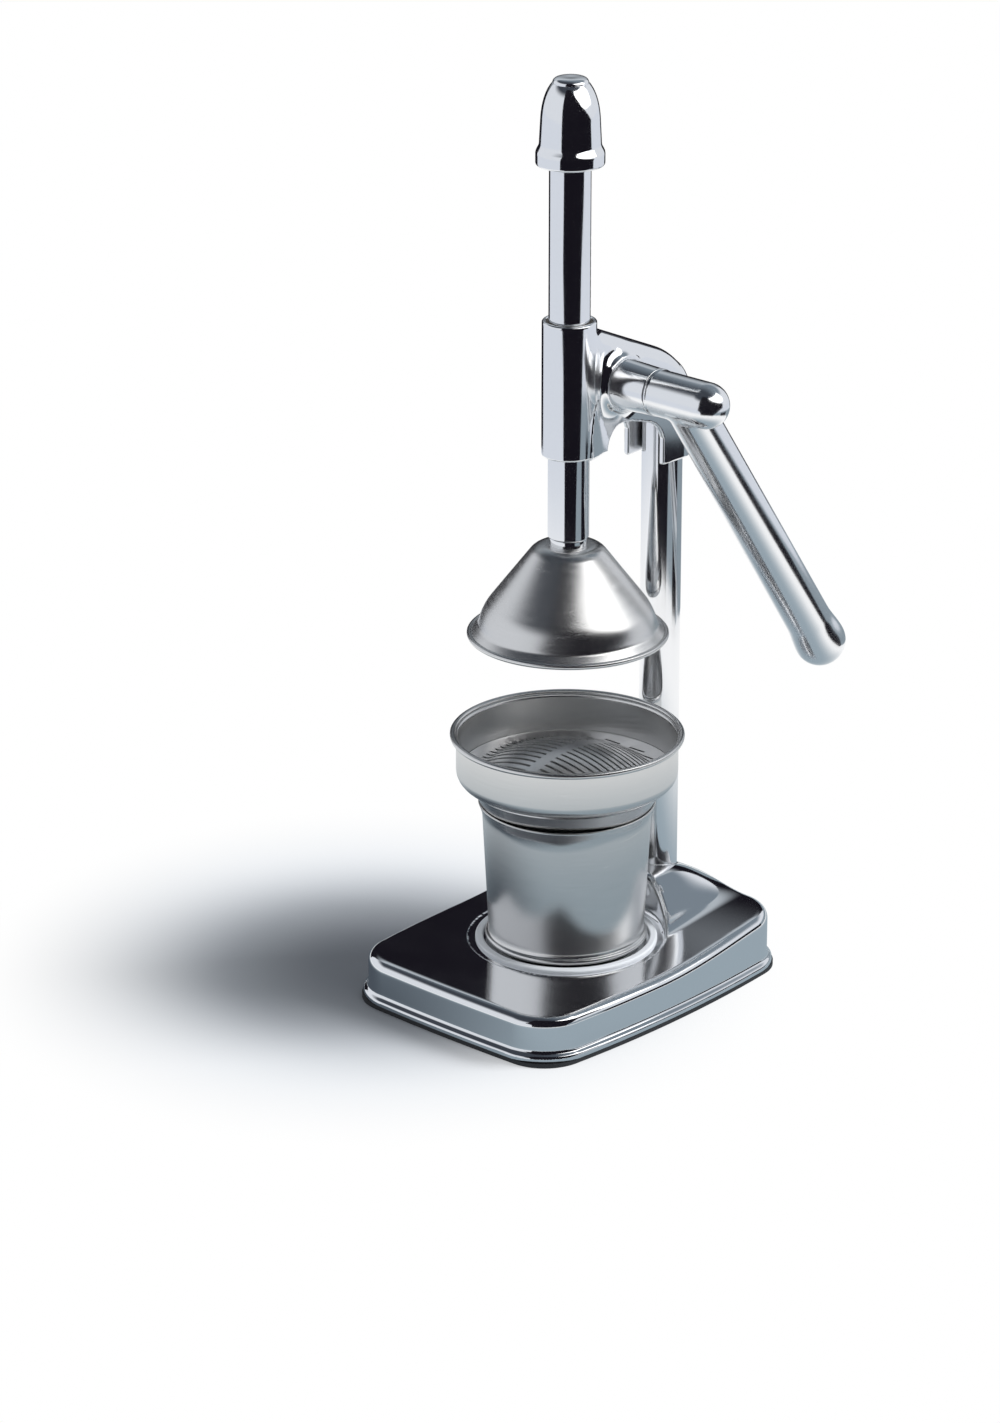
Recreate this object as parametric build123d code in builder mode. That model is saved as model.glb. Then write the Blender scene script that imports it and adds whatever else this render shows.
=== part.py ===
from build123d import *
from math import acos, asin, cos, degrees, pi, radians, sin, sqrt, tan
import os

# Lever citrus juice press, in millimetres.
# The origin is on the plunger axis, at the level of the surface that the press stands on.
# +Z is up, +Y points back to the post and +X points to the lever.

os.makedirs("parts", exist_ok=True)

# ---- Shared clearances ----
RUNNING_FIT = 0.05        # radial play of a turning or sliding shaft
SLIP_FIT = 0.05           # radial play of pieces that are pushed together and stay put
OPEN_GAP = 0.3            # gap between pieces that move past each other

# ---- Base ----
PAD_THICKNESS = 2.0
PAD_INSET = 0.8           # pad edge inside the flange edge
FLANGE_HEIGHT = 3.2
FLANGE_REACH = 2.6        # flange edge outside the wall
FLANGE_ROUND = 1.5
BASE_HALF_WIDTH = 66.4    # at the widest point of the bowed sides
BASE_FRONT = 83.7         # wall, in front of the plunger axis
BASE_BACK = 88.0          # wall, behind the plunger axis
SIDE_BOW_RADIUS = 675.0
END_BOW_RADIUS = 1100.0
BASE_CORNER = 20.0
SHELL_WALL = 2.0
DECK_HEIGHT = 23.0
DECK_REAR_HEIGHT = 29.0   # deck beside the shoulder, at the back
DECK_RISE_START = -8.0    # from here back the deck rises
DECK_EDGE_ROUND = 5.0
SHOULDER_HEIGHT = 42.6
SHOULDER_TOP_HALF = 9.0   # half width of the level crest
SHOULDER_FOOT_HALF = 40.0
SHOULDER_CREST_END = 57.0 # the level crest ends here and falls towards the back wall
SHOULDER_END_DROP = 12.4
SHOULDER_CLIMB_START = 2.0
SHOULDER_CLIMB_END = 36.0
WELL_RADIUS = 46.7        # concave cut round the cup
WELL_DEPTH = 0.3
TOP_FORM_TOLERANCE = 0.1
TOP_FORM_SIDE_MARGIN = 7.0   # the top form runs this far past the sides before it is trimmed
TOP_FORM_END_MARGIN = 8.0
PLATE_THICKNESS = 3.0
PLATE_GAP = 0.5

# ---- Cup seat ----
RING_OUTER = 42.9
RING_WIDTH = 3.9
RING_HEIGHT = 1.6

# ---- Post ----
POST_Y = 65.0
POST_RADIUS = 9.5
POST_WALL = 1.5
POST_HEIGHT = 270.0
POST_COLLAR_WALL = 3.0
POST_PLUG_LENGTH = 24.0

# ---- Screws ----
PLATE_SCREW_RADIUS = 2.0
PLATE_SCREW_LENGTH = 12.0
PLATE_SCREW_X = 47.0
PLATE_SCREW_FRONT = 62.0
PLATE_SCREW_REAR = 70.0
PLATE_BOSS_RADIUS = 5.0
POST_SCREW_RADIUS = 3.0
POST_SCREW_LENGTH = 20.0
SCREW_HOLE_GAP = 0.1      # radial play of a screw in its hole
GRUB_RADIUS = 2.5
GRUB_CHAMFER = 0.4
SOCKET_DEPTH = 1.8        # drive sockets of the screws

# ---- Head casting ----
SLEEVE_RADIUS = 12.5
SLEEVE_BOTTOM = 261.8
SLEEVE_TOP = 325.5
SLEEVE_EDGE_ROUND = 0.8
ARM_TOP_AT_AXIS = 325.4   # the sloping top line, produced to the plunger axis
ARM_SLOPE = 23.6          # degrees below level, towards the back
ARM_BACK_RADIUS = 42.0    # side view
ARM_HALF_AT_SLEEVE = 9.6
ARM_ROUND = 6.5
HEAD_WALL = 2.6
SOCKET_RADIUS = 12.7
SOCKET_BOTTOM = 246.5
HEAD_GRUB_LOW = 6.0       # above the socket's bottom
HEAD_GRUB_HIGH = 17.0
ARCH_TOP = 273.2
ARCH_FRONT = 14.6
ARCH_BACK = 51.8
ARCH_FRONT_RUN = 10.4     # the arch reaches its top this far behind its front
ARCH_BACK_RUN = 16.0      # and leaves it this far in front of its back
ARCH_BACK_SAG = 2.2       # where it leaves, it is this much below the top

# ---- Rack and pinion ----
MODULE = 1.5
PINION_TEETH = 21
PRESSURE_ANGLE = 20.0
BACKLASH = 0.16
PINION_WIDTH = 9.0
ROD_FLAT = 8.9            # crest plane of the rack, behind the rod axis
PLUNGER_TRAVEL = 60.0
RACK_SPARE_TEETH = 2      # tooth gaps beyond the travel, at each end

# ---- Pivot ----
HUB_Z = 293.05
BOSS_RADIUS = 12.3
BOSS_END = 13.9           # boss face, from the middle plane
INNER_BOSS_RADIUS = 9.0
COLLAR_END = 33.0
COLLAR_SMALL_RADIUS = 10.9
SHAFT_RADIUS = 5.0
SHAFT_IN_HUB = 28.0
BUSH_WALL = 1.5
BUSH_FLANGE_RADIUS = 8.6
BUSH_FLANGE_THICKNESS = 1.2
CLIP_THICKNESS = 1.2
CLIP_RADIUS = 8.0
CLIP_GROOVE_DEPTH = 1.0
SHAFT_TAIL = 2.2          # shaft beyond the clip
SHAFT_CHAMFER = 0.6
COLLAR_STEP = 0.4         # collar's large end inside the boss edge
COLLAR_EDGE_ROUND = 0.6
KEY_SIZE = 3.0

# ---- Lever ----
HUB_RADIUS = 10.65
HUB_LIP = 0.35            # raised rim at the joint with the collar
HUB_LIP_WIDTH = 0.8
HUB_DOME_CENTRE = 61.6
LEVER_X = 48.6
LEVER_DROP = 54.7         # degrees below level at rest, towards the back
HANDLE_ROOT_RADIUS = 10.3
HANDLE_END_RADIUS = 10.95
LEVER_LENGTH = 187.6      # hub axis to the tip
HANDLE_FLARE = 29.6       # from the tip back to where the handle starts to swell
BULB_RADIUS = 12.3
BULB_NOSE = 12.3          # from the tip back to the widest place of the bulb

# ---- Plunger ----
ROD_RADIUS = 9.5
CAP_BOTTOM = 397.5
CAP_NECK_RISE = 10.0      # above the cap's bottom, where the flange has run into the body
CAP_SHOULDER_RISE = 21.5  # above the cap's bottom, where the body starts to round over
CAP_HEIGHT = 37.1
CAP_FLANGE_RADIUS = 15.6
CAP_BODY_RADIUS = 14.0
CAP_SHOULDER_RADIUS = 13.4
CAP_TOP_RADIUS = 8.4
CAP_ROOF = 10.1           # metal above the bore
BUTTON_RADIUS = 8.1
BUTTON_RISE = 2.5
BUTTON_STEM_RADIUS = 4.0
BUTTON_STEM_LENGTH = 6.0
NECK_RADIUS = 8.6
NECK_LENGTH = 3.5
CONE_TOP = 219.0
CONE_TOP_RADIUS = 15.1    # where the flank, produced, meets the top
CONE_TOP_ROUND = 9.0
CONE_SKIRT_RADIUS = 39.6
CONE_SKIRT_DROP = 32.0    # below the cone's top
CONE_SKIRT_ROUND = 8.0
CONE_FLARE_RADIUS = 41.6
CONE_FLARE_DROP = 39.2
CONE_FLARE_ROUND = 3.0
CONE_SHEET = 1.0
CONE_RIM_RADIUS = 46.6
CONE_RIM_DROP = 42.8
CONE_BEAD = 1.3
CONE_SCREW_RADIUS = 3.0
CONE_SCREW_LENGTH = 20.0
CONE_SCREW_HEAD_RADIUS = 5.2
CONE_SCREW_HEAD_HEIGHT = 3.4
CONE_WASHER_RADIUS = 8.0
CONE_WASHER_THICKNESS = 1.4
ROD_CHAMFER = 0.6
CAP_FLANGE_HEIGHT = 5.0
CAP_EDGE_ROUND = 1.2
BUTTON_EDGE = 0.6
BUSH_LENGTH = 13.5
BUSH_RECESS = 0.8
GUIDE_BUSH_WALL = 1.15

# ---- Cup, strainer bowl and sieve ----
CUP_SHEET = 0.9
CUP_FOOT_RADIUS = 36.3
CUP_TOP_RADIUS = 39.6
CUP_LIP_RADIUS = 41.6
CUP_LIP_HEIGHT = 92.6
CUP_WALL_TOP = 87.5
CUP_BEAD_RADIUS = 38.2
CUP_BEAD_HEIGHT = 25.6
CUP_BEAD = 1.5
SPOUT_RADIUS = 36.0
SPOUT_DEPTH = 14.0
SPOUT_REACH = 4.6
SPOUT_DIRECTION = -57.0   # degrees from +X
BOWL_SHEET = 0.9
BOWL_RIM_RADIUS = 54.6
BOWL_RIM_HEIGHT = 125.5
BOWL_BEAD = 1.4
BOWL_BAND_RADIUS = 51.7
BOWL_BAND_BOTTOM = 108.5
BOWL_CORNER = 6.4         # outer radius where the band turns in to the step
BOWL_NECK_ROUND = 1.5
BOWL_STEP_ROUND = 1.0
SKIRT_BOTTOM_RADIUS = 37.0
SKIRT_BOTTOM = 86.0
SIEVE_SHEET = 0.9
SIEVE_RADIUS = 50.4
SIEVE_DOME_RADIUS = 39.0
SIEVE_DOME_RISE = 11.0
SLIT_WIDTH = 1.3
SLIT_PITCH = 3.7
SLIT_FIELD_RADIUS = 42.5
SLIT_SPINE = 6.0          # solid strip between the left and right slits

# ---- Places that follow from the sizes ----
shell_bottom = PAD_THICKNESS
plate_top = shell_bottom + PLATE_THICKNESS
well_floor = DECK_HEIGHT - WELL_DEPTH
pitch_radius = MODULE * PINION_TEETH / 2
rack_pitch_y = ROD_FLAT - MODULE
hub_y = rack_pitch_y + pitch_radius
tooth_pitch = pi * MODULE
pinion_tip_radius = pitch_radius + MODULE
bush_radius = SHAFT_RADIUS + RUNNING_FIT + BUSH_WALL
inner_boss_face = PINION_WIDTH / 2 + 0.5
hub_start = COLLAR_END + OPEN_GAP
sleeve_bore = ROD_RADIUS + RUNNING_FIT + GUIDE_BUSH_WALL
lever_angle = radians(LEVER_DROP)
lever_run = (0, cos(lever_angle), -sin(lever_angle))
grub_side = (0, sin(lever_angle), cos(lever_angle))
hub_axis = Axis((0, hub_y, HUB_Z), (1, 0, 0))
cup_bottom = well_floor + OPEN_GAP
rod_bottom = CONE_TOP + NECK_LENGTH

print("plunger travel", PLUNGER_TRAVEL, "mm needs a lever turn of",
      round(degrees(PLUNGER_TRAVEL / pitch_radius), 2), "degrees; hub at y", hub_y)


def save(block, name):
    """Label the finished piece and write it to its own STEP file."""
    block.part.label = name
    export_step(block.part, f"parts/{name}.step")


def smooth_step(value):
    """Rise from 0 to 1 with level ends."""
    held = min(max(value, 0.0), 1.0)
    return 0.5 - 0.5 * cos(pi * held)


# ---------------------------------------------------------------- base

def base_outline(inset):
    """Rounded rectangle with gently bowed edges, as a face on the ground plane."""
    half = BASE_HALF_WIDTH - inset
    front = -(BASE_FRONT - inset)
    back = BASE_BACK - inset
    middle = (front + back) / 2
    half_length = (back - front) / 2
    side_bow = SIDE_BOW_RADIUS - sqrt(SIDE_BOW_RADIUS ** 2 - half_length ** 2)
    corner_half = half - side_bow
    end_bow = END_BOW_RADIUS - sqrt(END_BOW_RADIUS ** 2 - corner_half ** 2)
    with BuildSketch(Plane.XY, mode=Mode.PRIVATE) as outline:
        with BuildLine():
            ThreePointArc((corner_half, front + end_bow), (half, middle), (corner_half, back - end_bow))
            ThreePointArc((corner_half, back - end_bow), (0, back), (-corner_half, back - end_bow))
            ThreePointArc((-corner_half, back - end_bow), (-half, middle), (-corner_half, front + end_bow))
            ThreePointArc((-corner_half, front + end_bow), (0, front), (corner_half, front + end_bow))
        make_face()
        fillet(outline.vertices(), radius=BASE_CORNER - inset)
    return outline.sketch


def deck_height(y):
    """Height of the deck beside the shoulder: level in front, rising towards the back."""
    rise = DECK_REAR_HEIGHT - DECK_HEIGHT
    return DECK_HEIGHT + rise * smooth_step((y - DECK_RISE_START) / (BASE_BACK - DECK_RISE_START))


def crest_height(y):
    """Height of the shoulder's crest along the middle plane."""
    past = max(0.0, (y - SHOULDER_CREST_END) / (BASE_BACK - SHOULDER_CREST_END))
    full = SHOULDER_HEIGHT - SHOULDER_END_DROP * past ** 2
    climb = smooth_step((y - SHOULDER_CLIMB_START) / (SHOULDER_CLIMB_END - SHOULDER_CLIMB_START))
    return deck_height(y) + (full - deck_height(y)) * climb


def top_point(x, y, lowered):
    """Point of the base's top: a deck with a bell-shaped ridge along its middle."""
    side = (abs(x) - SHOULDER_TOP_HALF) / (SHOULDER_FOOT_HALF - SHOULDER_TOP_HALF)
    rise = (crest_height(y) - deck_height(y)) * (1 - smooth_step(side))
    return Vector(x, y, deck_height(y) + rise - lowered)


def spread(low, high, count):
    """Evenly spaced values from low to high."""
    return [low + (high - low) * step / (count - 1) for step in range(count)]


def raised_block(lowered):
    """Solid under the base's top form, larger than the outline that trims it."""
    half_width = BASE_HALF_WIDTH + TOP_FORM_SIDE_MARGIN
    across = spread(-half_width, half_width, 23)
    along = spread(-BASE_FRONT - TOP_FORM_END_MARGIN, BASE_BACK + TOP_FORM_END_MARGIN, 27)
    rows = [[top_point(x, y, lowered) for y in along] for x in across]
    top_face = Face.make_surface_from_array_of_points(rows, tol=TOP_FORM_TOLERANCE)
    return Solid.extrude(top_face, Vector(0, 0, -2 * SHOULDER_HEIGHT))


screw_places = [(PLATE_SCREW_X, -PLATE_SCREW_FRONT), (-PLATE_SCREW_X, -PLATE_SCREW_FRONT),
                (PLATE_SCREW_X, PLATE_SCREW_REAR), (-PLATE_SCREW_X, PLATE_SCREW_REAR)]

# Hollow of the shell: one wall inside the top form, clear of the well, the collar and the bosses.
with BuildPart() as base_hollow:
    add(raised_block(SHELL_WALL))
    with BuildSketch(Plane.XY.offset(-shell_bottom)):
        add(base_outline(SHELL_WALL))
    extrude(amount=2 * SHOULDER_HEIGHT, mode=Mode.INTERSECT)
    with BuildSketch(Plane.XY.offset(well_floor - SHELL_WALL)):
        Circle(WELL_RADIUS + SHELL_WALL)
    extrude(amount=SHOULDER_HEIGHT, mode=Mode.SUBTRACT)
    with BuildSketch(Plane.XY.offset(plate_top)):
        with Locations((0, POST_Y)):
            Circle(POST_RADIUS + POST_COLLAR_WALL)
        with Locations(*screw_places):
            Circle(PLATE_BOSS_RADIUS)
    extrude(amount=SHOULDER_HEIGHT, mode=Mode.SUBTRACT)

with BuildPart() as base_flange:
    with BuildSketch(Plane.XY.offset(shell_bottom)):
        add(base_outline(-FLANGE_REACH))
    extrude(amount=FLANGE_HEIGHT)
    fillet(base_flange.edges().group_by(Axis.Z)[-1], radius=FLANGE_ROUND)

# Pressed shell: bell-shaped shoulder for the post, concave well for the cup, flange below.
with BuildPart() as base_shell:
    add(raised_block(0))
    with BuildSketch(Plane.XY.offset(shell_bottom)):
        add(base_outline(0))
    extrude(amount=2 * SHOULDER_HEIGHT, mode=Mode.INTERSECT)
    fillet(base_shell.edges().filter_by(lambda edge: edge.center().Z > DECK_HEIGHT - 1),
           radius=DECK_EDGE_ROUND)
    add(base_flange.part)
    with BuildSketch(Plane.XY.offset(well_floor)):
        Circle(WELL_RADIUS)
    extrude(amount=SHOULDER_HEIGHT, mode=Mode.SUBTRACT)
    add(base_hollow.part, mode=Mode.SUBTRACT)
    with BuildSketch(Plane.XY.offset(plate_top)):
        with Locations((0, POST_Y)):
            Circle(POST_RADIUS + SLIP_FIT)
    extrude(amount=SHOULDER_HEIGHT, mode=Mode.SUBTRACT)
    with BuildSketch(Plane.XY.offset(plate_top)):
        with Locations(*screw_places):
            Circle(PLATE_SCREW_RADIUS + SCREW_HOLE_GAP)
    extrude(amount=PLATE_SCREW_LENGTH, mode=Mode.SUBTRACT)
save(base_shell, "base_shell")

# Anti-slip pad, glued over the flange, the plate and its screws.
with BuildPart() as base_pad:
    with BuildSketch():
        add(base_outline(PAD_INSET - FLANGE_REACH))
    extrude(amount=PAD_THICKNESS)
save(base_pad, "base_pad")


def countersunk_screw(radius, length, head_radius, head_height):
    """Screw with its flat head down on the ground plane and its shank pointing up."""
    with BuildPart(mode=Mode.PRIVATE) as screw:
        with BuildSketch(Plane.XZ):
            with BuildLine():
                Polyline((0, 0), (head_radius, 0), (radius, head_height), (radius, length),
                         (0, length), close=True)
            make_face()
        revolve(axis=Axis.Z)
        with BuildSketch():
            RegularPolygon(radius * 0.8, 6)
        extrude(amount=min(SOCKET_DEPTH, head_height), mode=Mode.SUBTRACT)
    return screw.part


# Steel plate that closes the shell and carries the post screw.
plate_head = PLATE_SCREW_RADIUS * 2
post_head = POST_SCREW_RADIUS * 2
with BuildPart() as base_plate:
    with BuildSketch(Plane.XY.offset(shell_bottom)):
        add(base_outline(SHELL_WALL + PLATE_GAP))
    extrude(amount=PLATE_THICKNESS)
    with Locations(*[Location((x, y, shell_bottom), (180, 0, 0)) for x, y in screw_places]):
        CounterSinkHole(PLATE_SCREW_RADIUS + SCREW_HOLE_GAP, plate_head + SCREW_HOLE_GAP,
                        depth=PLATE_THICKNESS)
    with Locations(Location((0, POST_Y, shell_bottom), (180, 0, 0))):
        CounterSinkHole(POST_SCREW_RADIUS + SCREW_HOLE_GAP, post_head + SCREW_HOLE_GAP,
                        depth=PLATE_THICKNESS)
save(base_plate, "base_plate")

plate_screw = countersunk_screw(PLATE_SCREW_RADIUS, PLATE_SCREW_LENGTH, plate_head, PLATE_SCREW_RADIUS)
with BuildPart() as base_plate_screws:
    with Locations(*[Location((x, y, shell_bottom)) for x, y in screw_places]):
        add(plate_screw)
save(base_plate_screws, "base_plate_screws")

# Raised ring on the well floor, which keeps the cup on the plunger axis.
with BuildPart() as cup_seat_ring:
    with BuildSketch(Plane.XY.offset(well_floor)):
        Circle(RING_OUTER)
        Circle(RING_OUTER - RING_WIDTH, mode=Mode.SUBTRACT)
    extrude(amount=RING_HEIGHT)
    fillet(cup_seat_ring.edges().group_by(Axis.Z)[-1], radius=RING_HEIGHT * 0.6)
save(cup_seat_ring, "cup_seat_ring")

# ---------------------------------------------------------------- post

with BuildPart() as post_tube:
    with BuildSketch(Plane.XY.offset(plate_top)):
        with Locations((0, POST_Y)):
            Circle(POST_RADIUS)
            Circle(POST_RADIUS - POST_WALL, mode=Mode.SUBTRACT)
    extrude(amount=POST_HEIGHT - plate_top)
save(post_tube, "post_tube")

with BuildPart() as post_foot_plug:
    with BuildSketch(Plane.XY.offset(plate_top)):
        with Locations((0, POST_Y)):
            Circle(POST_RADIUS - POST_WALL - SLIP_FIT)
            Circle(POST_SCREW_RADIUS + SCREW_HOLE_GAP, mode=Mode.SUBTRACT)
    extrude(amount=POST_PLUG_LENGTH)
save(post_foot_plug, "post_foot_plug")

with BuildPart() as post_screw:
    with Locations(Location((0, POST_Y, shell_bottom))):
        add(countersunk_screw(POST_SCREW_RADIUS, POST_SCREW_LENGTH, post_head, POST_SCREW_RADIUS))
save(post_screw, "post_screw")

# ---------------------------------------------------------------- head

arm_slope = radians(ARM_SLOPE)
window_half_height = sqrt((pinion_tip_radius + 0.5) ** 2 - (hub_y - SLEEVE_RADIUS) ** 2)
head_grub_heights = (SOCKET_BOTTOM + HEAD_GRUB_LOW, SOCKET_BOTTOM + HEAD_GRUB_HIGH)
arm_back = POST_Y + SOCKET_RADIUS
arc_centre_y = arm_back - ARM_BACK_RADIUS
arc_start_y = arc_centre_y + ARM_BACK_RADIUS * sin(arm_slope)
arc_start_z = ARM_TOP_AT_AXIS - arc_start_y * tan(arm_slope)
arc_centre_z = arc_start_z - ARM_BACK_RADIUS * cos(arm_slope)


def arm_profile(inset):
    """Side view of the arm: a straight slope, then one arc down its back."""
    radius = ARM_BACK_RADIUS - inset
    start = (arc_centre_y + radius * sin(arm_slope), arc_centre_z + radius * cos(arm_slope))
    middle_turn = (pi / 2 + arm_slope) / 2
    middle = (arc_centre_y + radius * sin(middle_turn), arc_centre_z + radius * cos(middle_turn))
    front_z = start[1] + start[0] * tan(arm_slope)
    with BuildSketch(Plane.YZ, mode=Mode.PRIVATE) as profile:
        with BuildLine():
            Line((0, front_z), start)
            ThreePointArc(start, middle, (arc_centre_y + radius, arc_centre_z))
            Polyline((arc_centre_y + radius, arc_centre_z), (arc_centre_y + radius, SOCKET_BOTTOM),
                     (0, SOCKET_BOTTOM), (0, front_z))
        make_face()
    return profile.sketch


def arm_plan(inset):
    """Top view of the arm: narrow at the sleeve, round at the post."""
    with BuildSketch(Plane.XY.offset(SOCKET_BOTTOM), mode=Mode.PRIVATE) as plan:
        with BuildLine():
            Polyline((-ARM_HALF_AT_SLEEVE + inset, 0), (ARM_HALF_AT_SLEEVE - inset, 0),
                     (SOCKET_RADIUS - inset, POST_Y), (-SOCKET_RADIUS + inset, POST_Y), close=True)
        make_face()
        with Locations((0, POST_Y)):
            Circle(SOCKET_RADIUS - inset)
    return plan.sketch


# The hollow under the arm, open below.
with BuildPart() as arm_hollow:
    extrude(arm_profile(HEAD_WALL), amount=2 * SOCKET_RADIUS, both=True)
    extrude(arm_plan(HEAD_WALL), amount=SLEEVE_TOP, mode=Mode.INTERSECT)

# Arch cut in both side walls, between the sleeve and the post.
arch_back_foot = SOCKET_BOTTOM + 0.48 * (ARCH_TOP - SOCKET_BOTTOM)
arch_back_middle = SOCKET_BOTTOM + 0.76 * (ARCH_TOP - SOCKET_BOTTOM)
arch_front_middle = SLEEVE_BOTTOM + 0.61 * (ARCH_TOP - SLEEVE_BOTTOM)
with BuildPart() as side_arch:
    with BuildSketch(Plane.YZ):
        with BuildLine():
            Polyline((-SLEEVE_RADIUS, SLEEVE_BOTTOM), (-SLEEVE_RADIUS, SOCKET_BOTTOM - 1),
                     (ARCH_BACK, SOCKET_BOTTOM - 1), (ARCH_BACK, arch_back_foot))
            Spline((ARCH_BACK, arch_back_foot), (ARCH_BACK - ARCH_BACK_RUN / 3, arch_back_middle),
                   (ARCH_BACK - ARCH_BACK_RUN, ARCH_TOP - ARCH_BACK_SAG),
                   (ARCH_FRONT + ARCH_FRONT_RUN, ARCH_TOP),
                   (ARCH_FRONT + 0.29 * ARCH_FRONT_RUN, arch_front_middle), (ARCH_FRONT, SLEEVE_BOTTOM))
            Line((ARCH_FRONT, SLEEVE_BOTTOM), (-SLEEVE_RADIUS, SLEEVE_BOTTOM))
        make_face()
    extrude(amount=2 * SOCKET_RADIUS, both=True)

# Hollow casting: guide sleeve, arm, pivot bosses and post socket in one piece.
with BuildPart() as head_casting:
    extrude(arm_profile(0), amount=2 * SOCKET_RADIUS, both=True)
    extrude(arm_plan(0), amount=SLEEVE_TOP, mode=Mode.INTERSECT)
    long_edges = head_casting.edges().filter_by(
        lambda edge: edge.center().Z > arc_centre_z + 4 and edge.center().Y > 1)
    fillet(long_edges, radius=ARM_ROUND)
    with BuildSketch(Plane.YZ):
        with Locations((hub_y, HUB_Z)):
            Circle(BOSS_RADIUS)
    extrude(amount=BOSS_END, both=True)
    add(arm_hollow.part, mode=Mode.SUBTRACT)
    add(side_arch.part, mode=Mode.SUBTRACT)
    with BuildSketch(Plane.XY.offset(SLEEVE_BOTTOM)):
        Circle(SLEEVE_RADIUS)
    extrude(amount=SLEEVE_TOP - SLEEVE_BOTTOM)
    fillet(head_casting.edges().group_by(Axis.Z)[-1], radius=SLEEVE_EDGE_ROUND)
    for side in (1, -1):
        with BuildSketch(Plane.YZ.offset(side * inner_boss_face)):
            with Locations((hub_y, HUB_Z)):
                Circle(INNER_BOSS_RADIUS)
        extrude(amount=side * (BOSS_END - inner_boss_face))
    with BuildSketch(Plane.YZ):
        with Locations((hub_y, HUB_Z)):
            Circle(bush_radius + SLIP_FIT)
    extrude(amount=BOSS_END, both=True, mode=Mode.SUBTRACT)
    with BuildSketch(Plane.XY.offset(SLEEVE_BOTTOM)):
        Circle(sleeve_bore)
    extrude(amount=SLEEVE_TOP - SLEEVE_BOTTOM, mode=Mode.SUBTRACT)
    with BuildSketch(Plane.XZ):
        with Locations((0, HUB_Z)):
            Rectangle(2 * inner_boss_face, 2 * window_half_height)
    extrude(amount=-hub_y, mode=Mode.SUBTRACT)
    with BuildSketch(Plane.XY.offset(SOCKET_BOTTOM)):
        with Locations((0, POST_Y)):
            Circle(POST_RADIUS + SLIP_FIT)
    extrude(amount=POST_HEIGHT - SOCKET_BOTTOM + OPEN_GAP, mode=Mode.SUBTRACT)
    with BuildSketch(Plane.XZ.offset(-POST_Y)):
        with Locations(*[(0, z) for z in head_grub_heights]):
            Circle(GRUB_RADIUS + SCREW_HOLE_GAP)
    extrude(amount=-2 * SOCKET_RADIUS, mode=Mode.SUBTRACT)
save(head_casting, "head_casting")


def grub_screw(length):
    """Headless screw standing on the ground plane, with its drive socket on top."""
    with BuildPart(mode=Mode.PRIVATE) as screw:
        with BuildSketch():
            Circle(GRUB_RADIUS)
        extrude(amount=length)
        chamfer(screw.edges().group_by(Axis.Z)[0], length=GRUB_CHAMFER)
        with BuildSketch(Plane.XY.offset(length)):
            RegularPolygon(GRUB_RADIUS * 0.55, 6)
        extrude(amount=-SOCKET_DEPTH, mode=Mode.SUBTRACT)
    return screw.part


with BuildPart() as head_grub_screws:
    with Locations(*[Location((0, POST_Y + POST_RADIUS, z), (-90, 0, 0)) for z in head_grub_heights]):
        add(grub_screw(SOCKET_RADIUS - POST_RADIUS - GRUB_CHAMFER))
save(head_grub_screws, "head_grub_screws")


def guide_bush(bottom):
    """Plain bush between the sleeve and the plunger rod."""
    with BuildPart() as bush:
        with BuildSketch(Plane.XY.offset(bottom)):
            Circle(sleeve_bore - SLIP_FIT)
            Circle(ROD_RADIUS + RUNNING_FIT, mode=Mode.SUBTRACT)
        extrude(amount=BUSH_LENGTH)
    return bush


save(guide_bush(SLEEVE_BOTTOM + BUSH_RECESS), "lower_guide_bush")
save(guide_bush(SLEEVE_TOP - BUSH_RECESS - BUSH_LENGTH), "upper_guide_bush")

# ---------------------------------------------------------------- pivot

with BuildPart() as pivot_bush_near:
    with BuildSketch(Plane.YZ.offset(inner_boss_face)):
        with Locations((hub_y, HUB_Z)):
            Circle(bush_radius)
            Circle(SHAFT_RADIUS + RUNNING_FIT, mode=Mode.SUBTRACT)
    extrude(amount=COLLAR_END - BUSH_RECESS - inner_boss_face)
save(pivot_bush_near, "pivot_bush_near")

with BuildPart() as pivot_bush_far:
    with BuildSketch(Plane.YZ.offset(-inner_boss_face)):
        with Locations((hub_y, HUB_Z)):
            Circle(bush_radius)
    extrude(amount=inner_boss_face - BOSS_END)
    with BuildSketch(Plane.YZ.offset(-BOSS_END)):
        with Locations((hub_y, HUB_Z)):
            Circle(BUSH_FLANGE_RADIUS)
    extrude(amount=-BUSH_FLANGE_THICKNESS)
    with BuildSketch(Plane.YZ.offset(-inner_boss_face)):
        with Locations((hub_y, HUB_Z)):
            Circle(SHAFT_RADIUS + RUNNING_FIT)
    extrude(amount=-2 * BOSS_END, mode=Mode.SUBTRACT)
save(pivot_bush_far, "pivot_bush_far")

collar_bore_y = hub_y + bush_radius + SLIP_FIT

# Tapered collar that fills the space between the casting and the lever hub.
with BuildPart() as pivot_collar:
    with BuildSketch(Plane.XY.offset(HUB_Z)):
        with BuildLine():
            Polyline((BOSS_END, collar_bore_y), (BOSS_END, hub_y + BOSS_RADIUS - COLLAR_STEP),
                     (COLLAR_END, hub_y + COLLAR_SMALL_RADIUS), (COLLAR_END, collar_bore_y), close=True)
        make_face()
    revolve(axis=hub_axis)
    circles = pivot_collar.edges().filter_by(GeomType.CIRCLE)
    fillet(circles.filter_by(lambda edge: edge.radius > 2 * SHAFT_RADIUS), radius=COLLAR_EDGE_ROUND)
save(pivot_collar, "pivot_collar")

clip_face = BOSS_END + BUSH_FLANGE_THICKNESS + OPEN_GAP
shaft_start = -(clip_face + CLIP_THICKNESS + SHAFT_TAIL)
shaft_end = hub_start + SHAFT_IN_HUB

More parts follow.
